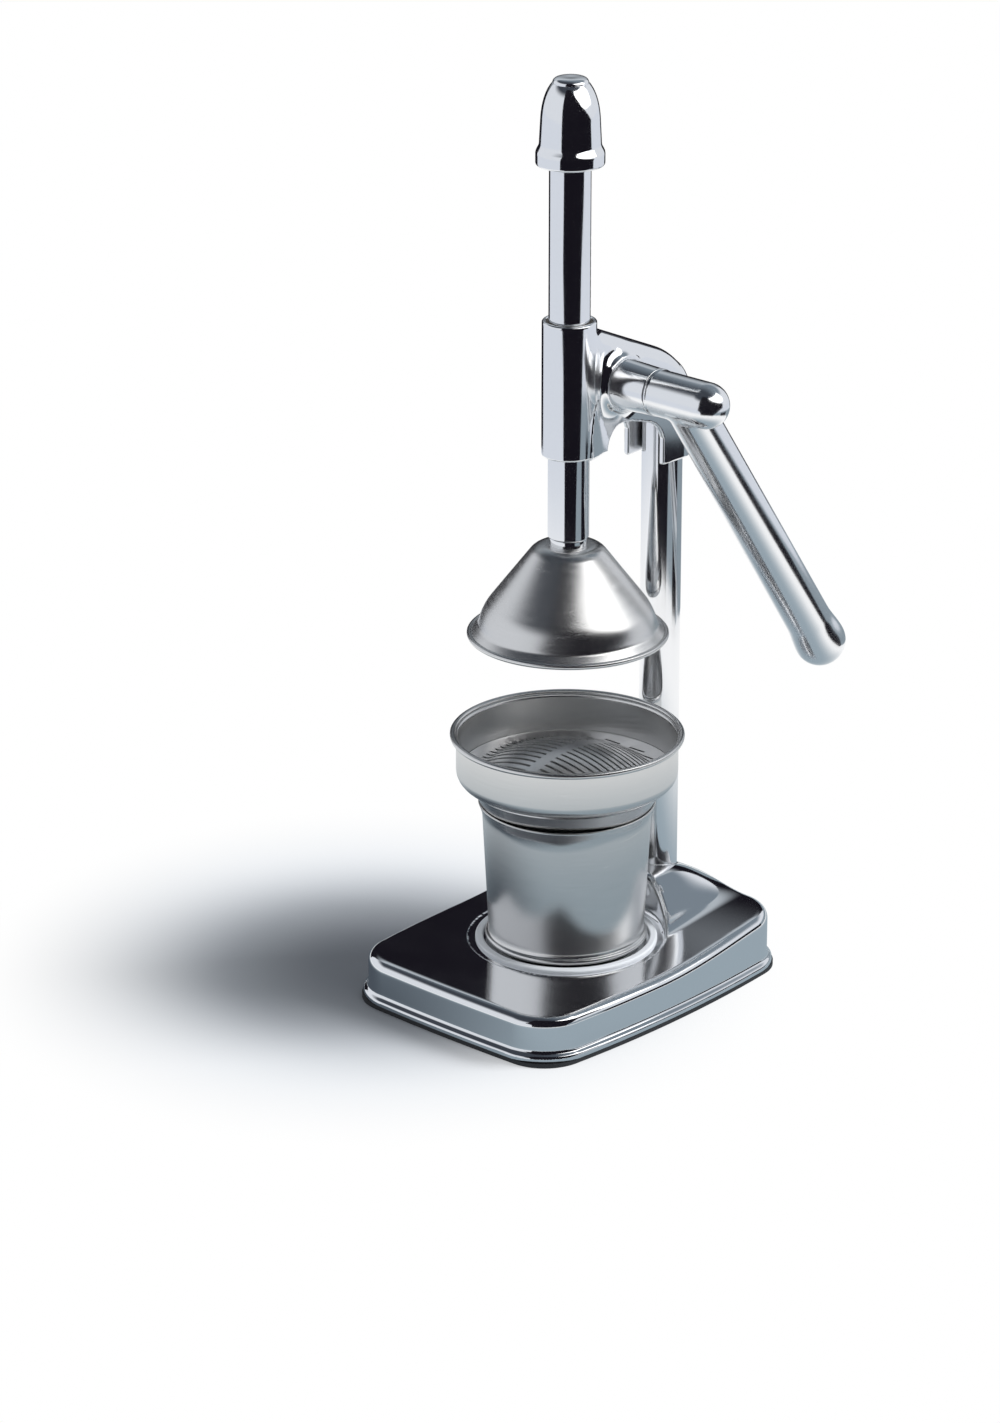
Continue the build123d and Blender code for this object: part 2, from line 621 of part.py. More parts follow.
with BuildPart() as pivot_shaft:
    with BuildSketch(Plane.YZ.offset(shaft_start)):
        with Locations((hub_y, HUB_Z)):
            Circle(SHAFT_RADIUS)
    extrude(amount=shaft_end - shaft_start)
    chamfer(pivot_shaft.edges(), length=SHAFT_CHAMFER)
    with BuildSketch(Plane.YZ.offset(-clip_face)):
        with Locations((hub_y, HUB_Z)):
            Circle(SHAFT_RADIUS)
            Circle(SHAFT_RADIUS - CLIP_GROOVE_DEPTH, mode=Mode.SUBTRACT)
    extrude(amount=-CLIP_THICKNESS, mode=Mode.SUBTRACT)
    with BuildSketch(Plane.YZ.offset(-PINION_WIDTH / 2)):
        with Locations((hub_y, HUB_Z + SHAFT_RADIUS)):
            Rectangle(KEY_SIZE, KEY_SIZE)
    extrude(amount=PINION_WIDTH, mode=Mode.SUBTRACT)
save(pivot_shaft, "pivot_shaft")

with BuildPart() as shaft_clip:
    with BuildSketch(Plane.YZ.offset(-clip_face)):
        with Locations((hub_y, HUB_Z)):
            Circle(CLIP_RADIUS)
            Circle(SHAFT_RADIUS - CLIP_GROOVE_DEPTH + SLIP_FIT, mode=Mode.SUBTRACT)
        with Locations((hub_y, HUB_Z - CLIP_RADIUS)):
            Rectangle(SHAFT_RADIUS, 2 * CLIP_RADIUS - SHAFT_RADIUS, mode=Mode.SUBTRACT)
    extrude(amount=-CLIP_THICKNESS)
save(shaft_clip, "shaft_clip")

with BuildPart() as pinion_key:
    with BuildSketch(Plane.YZ.offset(-PINION_WIDTH / 2)):
        with Locations((hub_y, HUB_Z + SHAFT_RADIUS)):
            Rectangle(KEY_SIZE, KEY_SIZE)
    extrude(amount=PINION_WIDTH)
save(pinion_key, "pinion_key")

# ---------------------------------------------------------------- rack and pinion

pressure = radians(PRESSURE_ANGLE)
base_radius = pitch_radius * cos(pressure)
root_radius = pitch_radius - 1.25 * MODULE
half_tooth = (tooth_pitch / 2 - BACKLASH) / (2 * pitch_radius)


def involute(angle):
    """Involute function of a pressure angle."""
    return tan(angle) - angle


def flank_angle(radius):
    """Half of the tooth's angular width at a radius on its flank."""
    return half_tooth + involute(pressure) - involute(acos(min(1.0, base_radius / radius)))


flank_radii = [base_radius] + spread(base_radius + 0.25, pinion_tip_radius, 4)


def pinion_points():
    """Outline of the pinion, with one tooth pointing at the rack."""
    points = []
    for tooth in range(PINION_TEETH):
        centre = pi + 2 * pi * tooth / PINION_TEETH
        flank = [(root_radius, flank_angle(base_radius))] + [(r, flank_angle(r)) for r in flank_radii]
        for radius, turn in flank:
            points.append((radius * cos(centre - turn), radius * sin(centre - turn)))
        for radius, turn in reversed(flank):
            points.append((radius * cos(centre + turn), radius * sin(centre + turn)))
    return points


pinion_plane = Plane(origin=(-PINION_WIDTH / 2, hub_y, HUB_Z), x_dir=(0, 1, 0), z_dir=(1, 0, 0))
with BuildPart() as pinion:
    with BuildSketch(pinion_plane):
        with BuildLine():
            Polyline(*pinion_points(), close=True)
        make_face()
        Circle(SHAFT_RADIUS + SLIP_FIT, mode=Mode.SUBTRACT)
        with Locations((0, SHAFT_RADIUS)):
            Rectangle(KEY_SIZE + 2 * SLIP_FIT, KEY_SIZE + 2 * SLIP_FIT, mode=Mode.SUBTRACT)
    extrude(amount=PINION_WIDTH)
save(pinion, "pinion")

cap_top = CAP_BOTTOM + CAP_HEIGHT
cap_bore_top = cap_top - CAP_ROOF
rod_top = cap_bore_top - OPEN_GAP
rack_root_y = ROD_FLAT - 2.25 * MODULE
gap_root_half = tooth_pitch / 4 - 1.25 * MODULE * tan(pressure)
gap_tip_half = tooth_pitch / 4 + MODULE * tan(pressure)
last_gap = int(PLUNGER_TRAVEL / tooth_pitch) + 1 + RACK_SPARE_TEETH
gap_heights = [HUB_Z + tooth_pitch * step for step in range(-RACK_SPARE_TEETH, last_gap + 1)]

# Round rod with a rack milled along its rear.
with BuildPart() as plunger_rod:
    with BuildSketch(Plane.XY.offset(rod_bottom)):
        Circle(ROD_RADIUS)
    extrude(amount=rod_top - rod_bottom)
    chamfer(plunger_rod.edges(), length=ROD_CHAMFER)
    with BuildSketch(Plane.YZ):
        flat_bottom = gap_heights[0] - tooth_pitch / 2
        flat_top = gap_heights[-1] + tooth_pitch / 2
        with Locations((ROD_FLAT + ROD_RADIUS / 2, (flat_bottom + flat_top) / 2)):
            Rectangle(ROD_RADIUS, flat_top - flat_bottom)
        for z in gap_heights:
            with BuildLine():
                Polyline((rack_root_y, z - gap_root_half), (ROD_FLAT, z - gap_tip_half),
                         (ROD_RADIUS + 1, z - gap_tip_half), (ROD_RADIUS + 1, z + gap_tip_half),
                         (ROD_FLAT, z + gap_tip_half), (rack_root_y, z + gap_root_half), close=True)
            make_face()
    extrude(amount=ROD_RADIUS, both=True, mode=Mode.SUBTRACT)
    with BuildSketch(Plane.XY.offset(rod_bottom)):
        Circle(CONE_SCREW_RADIUS + SCREW_HOLE_GAP)
    extrude(amount=CONE_SCREW_LENGTH, mode=Mode.SUBTRACT)
save(plunger_rod, "plunger_rod")

# ---------------------------------------------------------------- plunger ends

cap_flange_top = CAP_BOTTOM + CAP_FLANGE_HEIGHT
cap_neck = CAP_BOTTOM + CAP_NECK_RISE
cap_shoulder = CAP_BOTTOM + CAP_SHOULDER_RISE
with BuildPart() as plunger_cap:
    with BuildSketch(Plane.XZ):
        with BuildLine():
            Polyline((0, CAP_BOTTOM), (CAP_FLANGE_RADIUS, CAP_BOTTOM), (CAP_FLANGE_RADIUS, cap_flange_top))
            Spline((CAP_FLANGE_RADIUS, cap_flange_top), (CAP_BODY_RADIUS, cap_neck),
                   tangents=((0, 1), (-0.02, 1)))
            Line((CAP_BODY_RADIUS, cap_neck), (CAP_SHOULDER_RADIUS, cap_shoulder))
            Spline((CAP_SHOULDER_RADIUS, cap_shoulder), (CAP_TOP_RADIUS, cap_top),
                   tangents=((-0.07, 1), (-0.8, 1)))
            Polyline((CAP_TOP_RADIUS, cap_top), (0, cap_top), (0, CAP_BOTTOM))
        make_face()
    revolve(axis=Axis.Z)
    fillet(plunger_cap.edges().group_by(Axis.Z)[0], radius=CAP_EDGE_ROUND)
    with BuildSketch(Plane.XY.offset(CAP_BOTTOM)):
        Circle(ROD_RADIUS + SLIP_FIT)
    extrude(amount=cap_bore_top - CAP_BOTTOM, mode=Mode.SUBTRACT)
    with BuildSketch(Plane.XY.offset(cap_top)):
        Circle(BUTTON_STEM_RADIUS + SLIP_FIT)
    extrude(amount=-BUTTON_STEM_LENGTH - OPEN_GAP, mode=Mode.SUBTRACT)
save(plunger_cap, "plunger_cap")

with BuildPart() as cap_button:
    with BuildSketch(Plane.XZ):
        with BuildLine():
            Polyline((BUTTON_RADIUS, cap_top + BUTTON_EDGE), (BUTTON_RADIUS, cap_top),
                     (BUTTON_STEM_RADIUS, cap_top), (BUTTON_STEM_RADIUS, cap_top - BUTTON_STEM_LENGTH),
                     (0, cap_top - BUTTON_STEM_LENGTH), (0, cap_top + BUTTON_RISE))
            Spline((0, cap_top + BUTTON_RISE), (BUTTON_RADIUS, cap_top + BUTTON_EDGE),
                   tangents=((1, 0), (0.25, -1)))
        make_face()
    revolve(axis=Axis.Z)
save(cap_button, "cap_button")

with BuildPart() as cone_neck:
    with BuildSketch(Plane.XY.offset(CONE_TOP)):
        Circle(NECK_RADIUS)
        Circle(CONE_SCREW_RADIUS + SCREW_HOLE_GAP, mode=Mode.SUBTRACT)
    extrude(amount=NECK_LENGTH)
    fillet(cone_neck.edges().group_by(Axis.Z)[-1].sort_by(SortBy.RADIUS)[-1:], radius=ROD_CHAMFER)
save(cone_neck, "cone_neck")


def sheet_section(path, sheet):
    """Section of a turned sheet-metal wall: a path in the sketch plane, thickened to its right."""
    ribbon = offset(path, amount=sheet, side=Side.RIGHT, closed=True, mode=Mode.PRIVATE)
    make_face(ribbon.edges())


# Press cone: flat top, straight flank, steeper skirt, and a flared and rolled rim.
cone_bead_radius = CONE_RIM_RADIUS - CONE_BEAD
cone_rim = CONE_TOP - CONE_RIM_DROP
with BuildPart() as press_cone:
    with BuildSketch(Plane.XZ):
        with BuildLine() as cone_path:
            FilletPolyline((CONE_SCREW_RADIUS + SCREW_HOLE_GAP, CONE_TOP), (CONE_TOP_RADIUS, CONE_TOP),
                           (CONE_SKIRT_RADIUS, CONE_TOP - CONE_SKIRT_DROP),
                           (CONE_FLARE_RADIUS, CONE_TOP - CONE_FLARE_DROP), (cone_bead_radius, cone_rim),
                           radius=[CONE_TOP_ROUND, CONE_SKIRT_ROUND, CONE_FLARE_ROUND])
        sheet_section(cone_path.line, CONE_SHEET)
        with Locations((cone_bead_radius, cone_rim - CONE_SHEET / 2)):
            Circle(CONE_BEAD)
    revolve(axis=Axis.Z)
save(press_cone, "press_cone")

cone_inside = CONE_TOP - CONE_SHEET
with BuildPart() as cone_washer:
    with BuildSketch(Plane.XY.offset(cone_inside)):
        Circle(CONE_WASHER_RADIUS)
        Circle(CONE_SCREW_RADIUS + SCREW_HOLE_GAP, mode=Mode.SUBTRACT)
    extrude(amount=-CONE_WASHER_THICKNESS)
save(cone_washer, "cone_washer")

head_top = cone_inside - CONE_WASHER_THICKNESS
with BuildPart() as cone_screw:
    with BuildSketch(Plane.XY.offset(head_top)):
        Circle(CONE_SCREW_HEAD_RADIUS)
    extrude(amount=-CONE_SCREW_HEAD_HEIGHT)
    fillet(cone_screw.edges().group_by(Axis.Z)[0], radius=CONE_SCREW_HEAD_HEIGHT / 2)
    with BuildSketch(Plane.XY.offset(head_top - CONE_SCREW_HEAD_HEIGHT)):
        RegularPolygon(CONE_SCREW_RADIUS * 0.8, 6)
    extrude(amount=SOCKET_DEPTH, mode=Mode.SUBTRACT)
    with BuildSketch(Plane.XY.offset(head_top)):
        Circle(CONE_SCREW_RADIUS)
    extrude(amount=CONE_SCREW_LENGTH)
save(cone_screw, "cone_screw")

# ---------------------------------------------------------------- lever

lever_origin = (LEVER_X, hub_y, HUB_Z)
handle_waist = LEVER_LENGTH - HANDLE_FLARE
bulb_centre = LEVER_LENGTH - BULB_NOSE
handle_plane = Plane(origin=lever_origin, x_dir=lever_run, z_dir=(1, 0, 0))
with BuildPart() as lever:
    with BuildSketch(Plane(origin=(0, hub_y, HUB_Z), x_dir=(1, 0, 0), z_dir=(0, -1, 0))):
        with BuildLine():
            Polyline((hub_start, 0), (hub_start, HUB_RADIUS + HUB_LIP),
                     (hub_start + HUB_LIP_WIDTH, HUB_RADIUS + HUB_LIP),
                     (hub_start + 2 * HUB_LIP_WIDTH, HUB_RADIUS), (HUB_DOME_CENTRE, HUB_RADIUS))
            ThreePointArc((HUB_DOME_CENTRE, HUB_RADIUS),
                          (HUB_DOME_CENTRE + HUB_RADIUS * sin(pi / 4), HUB_RADIUS * cos(pi / 4)),
                          (HUB_DOME_CENTRE + HUB_RADIUS, 0))
            Line((HUB_DOME_CENTRE + HUB_RADIUS, 0), (hub_start, 0))
        make_face()
    revolve(axis=hub_axis)
    with BuildSketch(handle_plane):
        with BuildLine():
            Polyline((0, 0), (0, HANDLE_ROOT_RADIUS), (handle_waist, HANDLE_END_RADIUS))
            Spline((handle_waist, HANDLE_END_RADIUS), (bulb_centre, BULB_RADIUS), tangents=((1, 0), (1, 0)))
            ThreePointArc((bulb_centre, BULB_RADIUS),
                          (bulb_centre + BULB_NOSE * sin(pi / 4), BULB_RADIUS * cos(pi / 4)),
                          (LEVER_LENGTH, 0))
            Line((LEVER_LENGTH, 0), (0, 0))
        make_face()
    revolve(axis=Axis(lever_origin, lever_run))
    with BuildSketch(Plane.YZ.offset(hub_start)):
        with Locations((hub_y, HUB_Z)):
            Circle(SHAFT_RADIUS + SLIP_FIT)
    extrude(amount=SHAFT_IN_HUB + OPEN_GAP, mode=Mode.SUBTRACT)
    with BuildSketch(Plane(origin=lever_origin, x_dir=(1, 0, 0), z_dir=grub_side)):
        Circle(GRUB_RADIUS + SCREW_HOLE_GAP)
    extrude(amount=2 * HUB_RADIUS, mode=Mode.SUBTRACT)
save(lever, "lever")

hub_grub_length = HUB_RADIUS - SHAFT_RADIUS - GRUB_CHAMFER
with BuildPart() as hub_grub_screw:
    with Locations(Plane(origin=lever_origin, x_dir=(1, 0, 0), z_dir=grub_side).offset(SHAFT_RADIUS)):
        add(grub_screw(hub_grub_length))
save(hub_grub_screw, "hub_grub_screw")

# ---------------------------------------------------------------- cup, bowl and sieve


def cup_form(inset):
    """Solid of the cup's outer form, or of its inside when inset by the sheet."""
    lip_slope = (CUP_LIP_RADIUS - CUP_TOP_RADIUS) / (CUP_LIP_HEIGHT - CUP_WALL_TOP)
    top = CUP_LIP_HEIGHT + inset
    spout_centre = CUP_LIP_RADIUS + SPOUT_REACH - SPOUT_RADIUS
    spout_foot_height = CUP_LIP_HEIGHT - SPOUT_DEPTH
    wall_slope = (CUP_TOP_RADIUS - CUP_FOOT_RADIUS) / (CUP_WALL_TOP - cup_bottom)
    wall_at_foot = CUP_FOOT_RADIUS + wall_slope * (spout_foot_height - cup_bottom)
    spout_foot = wall_at_foot - spout_centre - inset
    spout_top = SPOUT_RADIUS - inset
    with BuildPart(mode=Mode.PRIVATE) as form:
        with BuildSketch(Plane.XZ):
            with BuildLine():
                Polyline((0, cup_bottom + inset), (CUP_FOOT_RADIUS - inset, cup_bottom + inset),
                         (CUP_TOP_RADIUS - inset, CUP_WALL_TOP),
                         (CUP_LIP_RADIUS + inset * lip_slope - inset, top), (0, top), close=True)
            make_face()
        revolve(axis=Axis.Z)
        with Locations(Location((0, 0, 0), (0, 0, SPOUT_DIRECTION))):
            with Locations((spout_centre, 0, CUP_LIP_HEIGHT - SPOUT_DEPTH / 2)):
                Cone(spout_foot, spout_top, SPOUT_DEPTH)
            if inset > 0:
                with Locations((spout_centre, 0, CUP_LIP_HEIGHT + inset / 2)):
                    Cylinder(spout_top, inset)
    return form.part


with BuildPart() as juice_cup:
    add(cup_form(0))
    with BuildSketch(Plane.XZ):
        with Locations((CUP_BEAD_RADIUS - CUP_BEAD, CUP_BEAD_HEIGHT)):
            Circle(CUP_BEAD)
    revolve(axis=Axis.Z)
    add(cup_form(CUP_SHEET), mode=Mode.SUBTRACT)
save(juice_cup, "juice_cup")

bowl_corner_centre = BOWL_BAND_RADIUS - BOWL_CORNER
bowl_corner_bottom = BOWL_BAND_BOTTOM - BOWL_CORNER
bowl_bead_radius = BOWL_RIM_RADIUS - BOWL_BEAD
with BuildPart() as strainer_bowl:
    with BuildSketch(Plane.XZ):
        with BuildLine() as bowl_path:
            FilletPolyline((bowl_bead_radius, BOWL_RIM_HEIGHT),
                           (BOWL_BAND_RADIUS, BOWL_RIM_HEIGHT - BOWL_BEAD),
                           (BOWL_BAND_RADIUS, bowl_corner_bottom), (bowl_corner_centre, bowl_corner_bottom),
                           (SKIRT_BOTTOM_RADIUS, SKIRT_BOTTOM),
                           radius=[BOWL_NECK_ROUND, BOWL_CORNER - 0.01, BOWL_STEP_ROUND])
        sheet_section(bowl_path.line, BOWL_SHEET)
        with Locations((bowl_bead_radius, BOWL_RIM_HEIGHT)):
            Circle(BOWL_BEAD)
    revolve(axis=Axis.Z)
save(strainer_bowl, "strainer_bowl")

seat_run = SIEVE_RADIUS - bowl_corner_centre
seat_drop = sqrt((BOWL_CORNER - BOWL_SHEET) ** 2 - seat_run ** 2)
sieve_floor = BOWL_BAND_BOTTOM - seat_drop + SLIP_FIT
dome_radius = (SIEVE_DOME_RADIUS ** 2 + SIEVE_DOME_RISE ** 2) / (2 * SIEVE_DOME_RISE)
dome_turn = asin(SIEVE_DOME_RADIUS / dome_radius) / 2
dome_centre_z = sieve_floor + SIEVE_DOME_RISE - dome_radius
slit_rows = int((SLIT_FIELD_RADIUS - SLIT_WIDTH) / SLIT_PITCH)

# Sieve: a flat ring that rests in the bowl's corner, round a low dome with two combs of slits.
with BuildPart() as sieve_disc:
    with BuildSketch(Plane.XZ):
        with BuildLine() as sieve_path:
            Line((SIEVE_RADIUS, sieve_floor), (SIEVE_DOME_RADIUS, sieve_floor))
            ThreePointArc((SIEVE_DOME_RADIUS, sieve_floor),
                          (dome_radius * sin(dome_turn), dome_centre_z + dome_radius * cos(dome_turn)),
                          (0, dome_centre_z + dome_radius))
        sheet_section(sieve_path.line, SIEVE_SHEET)
    revolve(axis=Axis.Z)
    with BuildSketch(Plane.XY.offset(sieve_floor - 1)):
        for row in range(-slit_rows, slit_rows + 1):
            y = row * SLIT_PITCH
            reach = sqrt(SLIT_FIELD_RADIUS ** 2 - y ** 2)
            for side in (1, -1):
                with Locations((side * (reach + SLIT_SPINE / 2) / 2, y)):
                    Rectangle(reach - SLIT_SPINE / 2, SLIT_WIDTH)
    extrude(amount=SIEVE_DOME_RISE + 3, mode=Mode.SUBTRACT)
save(sieve_disc, "sieve_disc")
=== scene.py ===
# %% [markdown]
# # A lever citrus press in chrome and brushed steel
# The press is a plunger with a rack, driven down onto a strainer by a long lever. The packed
# CAD model gives every piece its size and its place, in metres, with +Z up and the plunger on
# the Z axis. This lesson dresses that frame: it gives each piece its finish, and where a
# casting has blends or a sheet has rolled edges it makes a finer mesh that stands for the
# plain CAD solid. No piece is moved, and the whole press keeps its size. Objects that a new
# Blender file starts with are removed first.

# %% Load the frame
import math

import bmesh
import bpy
import numpy as np
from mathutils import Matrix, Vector


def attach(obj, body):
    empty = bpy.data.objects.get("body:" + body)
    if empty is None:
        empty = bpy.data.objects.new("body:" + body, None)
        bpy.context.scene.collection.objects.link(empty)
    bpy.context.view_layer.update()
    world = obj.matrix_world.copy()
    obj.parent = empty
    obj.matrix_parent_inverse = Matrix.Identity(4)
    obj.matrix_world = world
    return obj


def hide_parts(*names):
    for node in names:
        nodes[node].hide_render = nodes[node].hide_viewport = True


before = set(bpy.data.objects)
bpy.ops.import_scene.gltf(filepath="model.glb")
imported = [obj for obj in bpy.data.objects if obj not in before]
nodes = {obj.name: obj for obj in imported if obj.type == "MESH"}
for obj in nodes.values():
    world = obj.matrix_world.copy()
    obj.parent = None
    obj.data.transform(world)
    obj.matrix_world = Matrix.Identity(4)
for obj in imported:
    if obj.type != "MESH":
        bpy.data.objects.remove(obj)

for spare in ("Cube", "Light", "Camera"):
    if spare in bpy.data.objects:
        bpy.data.objects.remove(bpy.data.objects[spare])
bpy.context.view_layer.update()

# %% [markdown]
# ## The camera
# A press this tall looks right through a long lens: 125 mm on a 36 mm film keeps the tube and
# the post nearly parallel. The camera stands in front, to the lever's side and a little above,
# and its place is worked out from two angles, a distance and the point it looks at.

# %% Camera
CAMERA_AZIMUTH = math.radians(42.63)
CAMERA_ELEVATION = math.radians(21.45)
CAMERA_DISTANCE = 2.3
CAMERA_TARGET = Vector((-0.02557, -0.01829, 0.13491))
CAMERA_LENS = 125.39
FILM = 36.0


def direction(azimuth, elevation):
    """Unit vector from the press out to a point at these angles; azimuth 0 is straight in front."""
    level = math.cos(elevation)
    return Vector((math.sin(azimuth) * level, -math.cos(azimuth) * level, math.sin(elevation)))


camera_data = bpy.data.cameras.new("camera")
camera_data.lens = CAMERA_LENS
camera_data.sensor_width = FILM
camera = bpy.data.objects.new("camera", camera_data)
bpy.context.scene.collection.objects.link(camera)
towards_camera = direction(CAMERA_AZIMUTH, CAMERA_ELEVATION)
camera.location = CAMERA_TARGET + towards_camera * CAMERA_DISTANCE
camera.rotation_mode = "QUATERNION"
camera.rotation_quaternion = (-towards_camera).to_track_quat("-Z", "Y")
bpy.context.scene.camera = camera
print("camera at", [round(x, 3) for x in camera.location])

# %% [markdown]
# ## Small tools
# Every material and every repeated piece here is a node tree. A tree could be drawn by hand in
# the editor, but a script can be read, changed and run again. It reads best when a node is one
# statement, so `add_node` makes a node, sets its plain settings, and fills its inputs either
# with a number or with a link from another socket.

# %% Node helper
def add_node(tree, kind, inputs=None, **settings):
    """One node with its settings; inputs maps a socket name or index to a value or a socket."""
    made = tree.nodes.new(kind)
    for key, value in settings.items():
        setattr(made, key, value)
    for key, value in (inputs or {}).items():
        if isinstance(value, bpy.types.NodeSocket):
            tree.links.new(value, made.inputs[key])
        else:
            made.inputs[key].default_value = value
    return made


def new_material(name):
    """An empty node material with its output."""
    material = bpy.data.materials.new(name)
    material.use_nodes = True
    material.node_tree.nodes.clear()
    output = material.node_tree.nodes.new("ShaderNodeOutputMaterial")
    return material, material.node_tree, output


# %% [markdown]
# ## The studio
# Chrome has no colour of its own: it shows the room. A picture of a studio could stand for the
# room, but then the bands on the metal would fall where they like. So this room is built for the
# mirror. To the camera it is plain white, to matt surfaces it is a plain pale light, and only
# mirrors see its walls, its ceiling and its cards. The Light Path node tells these rays apart.

# %% Light path helpers
def seen_by(tree, *kinds):
    """1 for rays of any of these kinds, otherwise 0."""
    path = add_node(tree, "ShaderNodeLightPath")
    total = path.outputs[kinds[0]]
    for kind in kinds[1:]:
        total = add_node(tree, "ShaderNodeMath", {0: total, 1: path.outputs[kind]},
                         operation="MAXIMUM").outputs[0]
    return total


def fade_over(tree, value, low, high):
    """0 below low, 1 above high, and a soft step between."""
    step = add_node(tree, "ShaderNodeMapRange", {"Value": value, "From Min": low,
                                                 "From Max": high}, interpolation_type="SMOOTHSTEP")
    return step.outputs["Result"]


def mixed_colour(tree, share, first, second):
    """A colour between two, as the share goes from 0 to 1."""
    mix = add_node(tree, "ShaderNodeMix", {"Factor": share, "A": first, "B": second},
                   data_type="RGBA")
    return mix.outputs["Result"]


# %% [markdown]
# ## The room
# What a mirror sees of the room is pale walls and, above them, a ceiling. In front of the press it
# is nearly black, which darkens whatever leans up towards the camera, and behind the press it is
# slate grey. Both tones depend on the direction only, so the world's own shader holds them,
# and no walls have to be built.

# %% World
WHITE = (1.0, 1.0, 1.0, 1.0)
WORLD_FILL = 0.55
WORLD_TINT = (0.94, 0.97, 1.0, 1.0)
WALL_SHADE = (0.74, 0.765, 0.81, 1.0)
FRONT_CEILING = (0.045, 0.052, 0.066, 1.0)
REAR_CEILING = (0.20, 0.24, 0.28, 1.0)
WALL_TOP = (0.46, 0.70)
FRONT_TO_REAR = (-0.2, 0.6)

world = bpy.data.worlds.new("studio")
bpy.context.scene.world = world
world.use_nodes = True
sky = world.node_tree
sky.nodes.clear()
where = add_node(sky, "ShaderNodeTexCoord")
part = add_node(sky, "ShaderNodeSeparateXYZ", {0: where.outputs["Generated"]})
ceiling = mixed_colour(sky, fade_over(sky, part.outputs["Y"], *FRONT_TO_REAR), FRONT_CEILING,
                       REAR_CEILING)
room = mixed_colour(sky, fade_over(sky, part.outputs["Z"], *WALL_TOP), WALL_SHADE, ceiling)
fill = add_node(sky, "ShaderNodeBackground", {"Color": WORLD_TINT, "Strength": WORLD_FILL})
shown = add_node(sky, "ShaderNodeBackground", {"Color": WHITE, "Strength": 1.0})
mirrored = add_node(sky, "ShaderNodeBackground", {"Color": room, "Strength": 1.0})
mixed = add_node(sky, "ShaderNodeMixShader",
                 {0: seen_by(sky, "Is Camera Ray", "Is Transmission Ray"), 1: fill.outputs[0],
                  2: shown.outputs[0]})
mixed = add_node(sky, "ShaderNodeMixShader", {0: seen_by(sky, "Is Glossy Ray"),
                                              1: mixed.outputs[0], 2: mirrored.outputs[0]})
add_node(sky, "ShaderNodeOutputWorld", {"Surface": mixed.outputs[0]})
print("world of", len(sky.nodes), "nodes")

# %% [markdown]
# ## The table
# The table is one white disc. Close to the press it is matt and takes the shadow, and its matt
# colour holds a painted shadow that darkens it where the shadow is deepest. A little farther out
# it turns to pure white for the camera, so no edge shows against the background, as it would on
# a table that is matt all over. A mirror sees another table, a painted reflection: painted shade
# dark on the side of the shadow, slate grey round the rest of the base, white beyond that and
# grey again far out. This painted reflection gives the walls of the base and the handle their
# blue-grey bands. Each change of tone is a soft step over a distance, given in metres.

# %% Table
TABLE_RADIUS = 4.0
TABLE_COLOUR = (0.80, 0.83, 0.87, 1.0)
# Painted shadow: in the middle of the press's shadow the matt table's colour goes down to this dark
# tone.
PAINTED_SHADOW_COLOUR = (0.22, 0.235, 0.26, 1.0)
# Painted reflection: mirrors see the table in these emitting tones, with painted shade near the
# base, darkest on the shadow side, and grey far out.
NEAR_SHADE = (0.33, 0.40, 0.45, 1.0)
SHADOW_SHADE = (0.07, 0.085, 0.105, 1.0)
FAR_SHADE = (0.70, 0.735, 0.80, 1.0)
SHADOW_MIDDLE = (-0.075, -0.045, 0.0)
# Distance over which the painted shadow fades into the table's own colour.
PAINTED_SHADOW_FADE = (0.02, 0.15)
CAMERA_FADE = (0.07, 0.20)
SHADE_FADE = (0.03, 0.17)
LIT_FADE = (0.13, 0.40)
FAR_FADE = (0.45, 0.80)


def disc(name, radius, height, segments=96):
    """A flat round sheet."""
    mesh = bpy.data.meshes.new(name)
    bm = bmesh.new()
    bmesh.ops.create_circle(bm, cap_ends=True, radius=radius, segments=segments)
    bmesh.ops.translate(bm, vec=(0, 0, height), verts=bm.verts)
    bm.to_mesh(mesh)
    bm.free()
    made = bpy.data.objects.new(name, mesh)
    bpy.context.scene.collection.objects.link(made)
    return made


table = disc("table", TABLE_RADIUS, -0.0001)
table_white, tree, output = new_material("table_white")
where = add_node(tree, "ShaderNodeTexCoord")
away = add_node(tree, "ShaderNodeVectorMath", {0: where.outputs["Object"]}, operation="LENGTH")
away = away.outputs["Value"]
aside = add_node(tree, "ShaderNodeVectorMath", {0: where.outputs["Object"], 1: SHADOW_MIDDLE},
                 operation="DISTANCE").outputs["Value"]
to_camera = add_node(tree, "ShaderNodeMath",
                     {0: fade_over(tree, aside, *CAMERA_FADE),
                      1: seen_by(tree, "Is Camera Ray", "Is Transmission Ray")},
                     operation="MULTIPLY")
# Painted shadow: the matt colour darkens towards SHADOW_MIDDLE, on top of the shadow that the lamp
# casts.
painted_shadow_tone = mixed_colour(tree, fade_over(tree, aside, *PAINTED_SHADOW_FADE), PAINTED_SHADOW_COLOUR, TABLE_COLOUR)
matt = add_node(tree, "ShaderNodeBsdfDiffuse", {"Color": painted_shadow_tone})
glow = add_node(tree, "ShaderNodeEmission", {"Color": WHITE, "Strength": 1.0})
mixed = add_node(tree, "ShaderNodeMixShader", {0: to_camera.outputs[0], 1: matt.outputs[0],
                                               2: glow.outputs[0]})
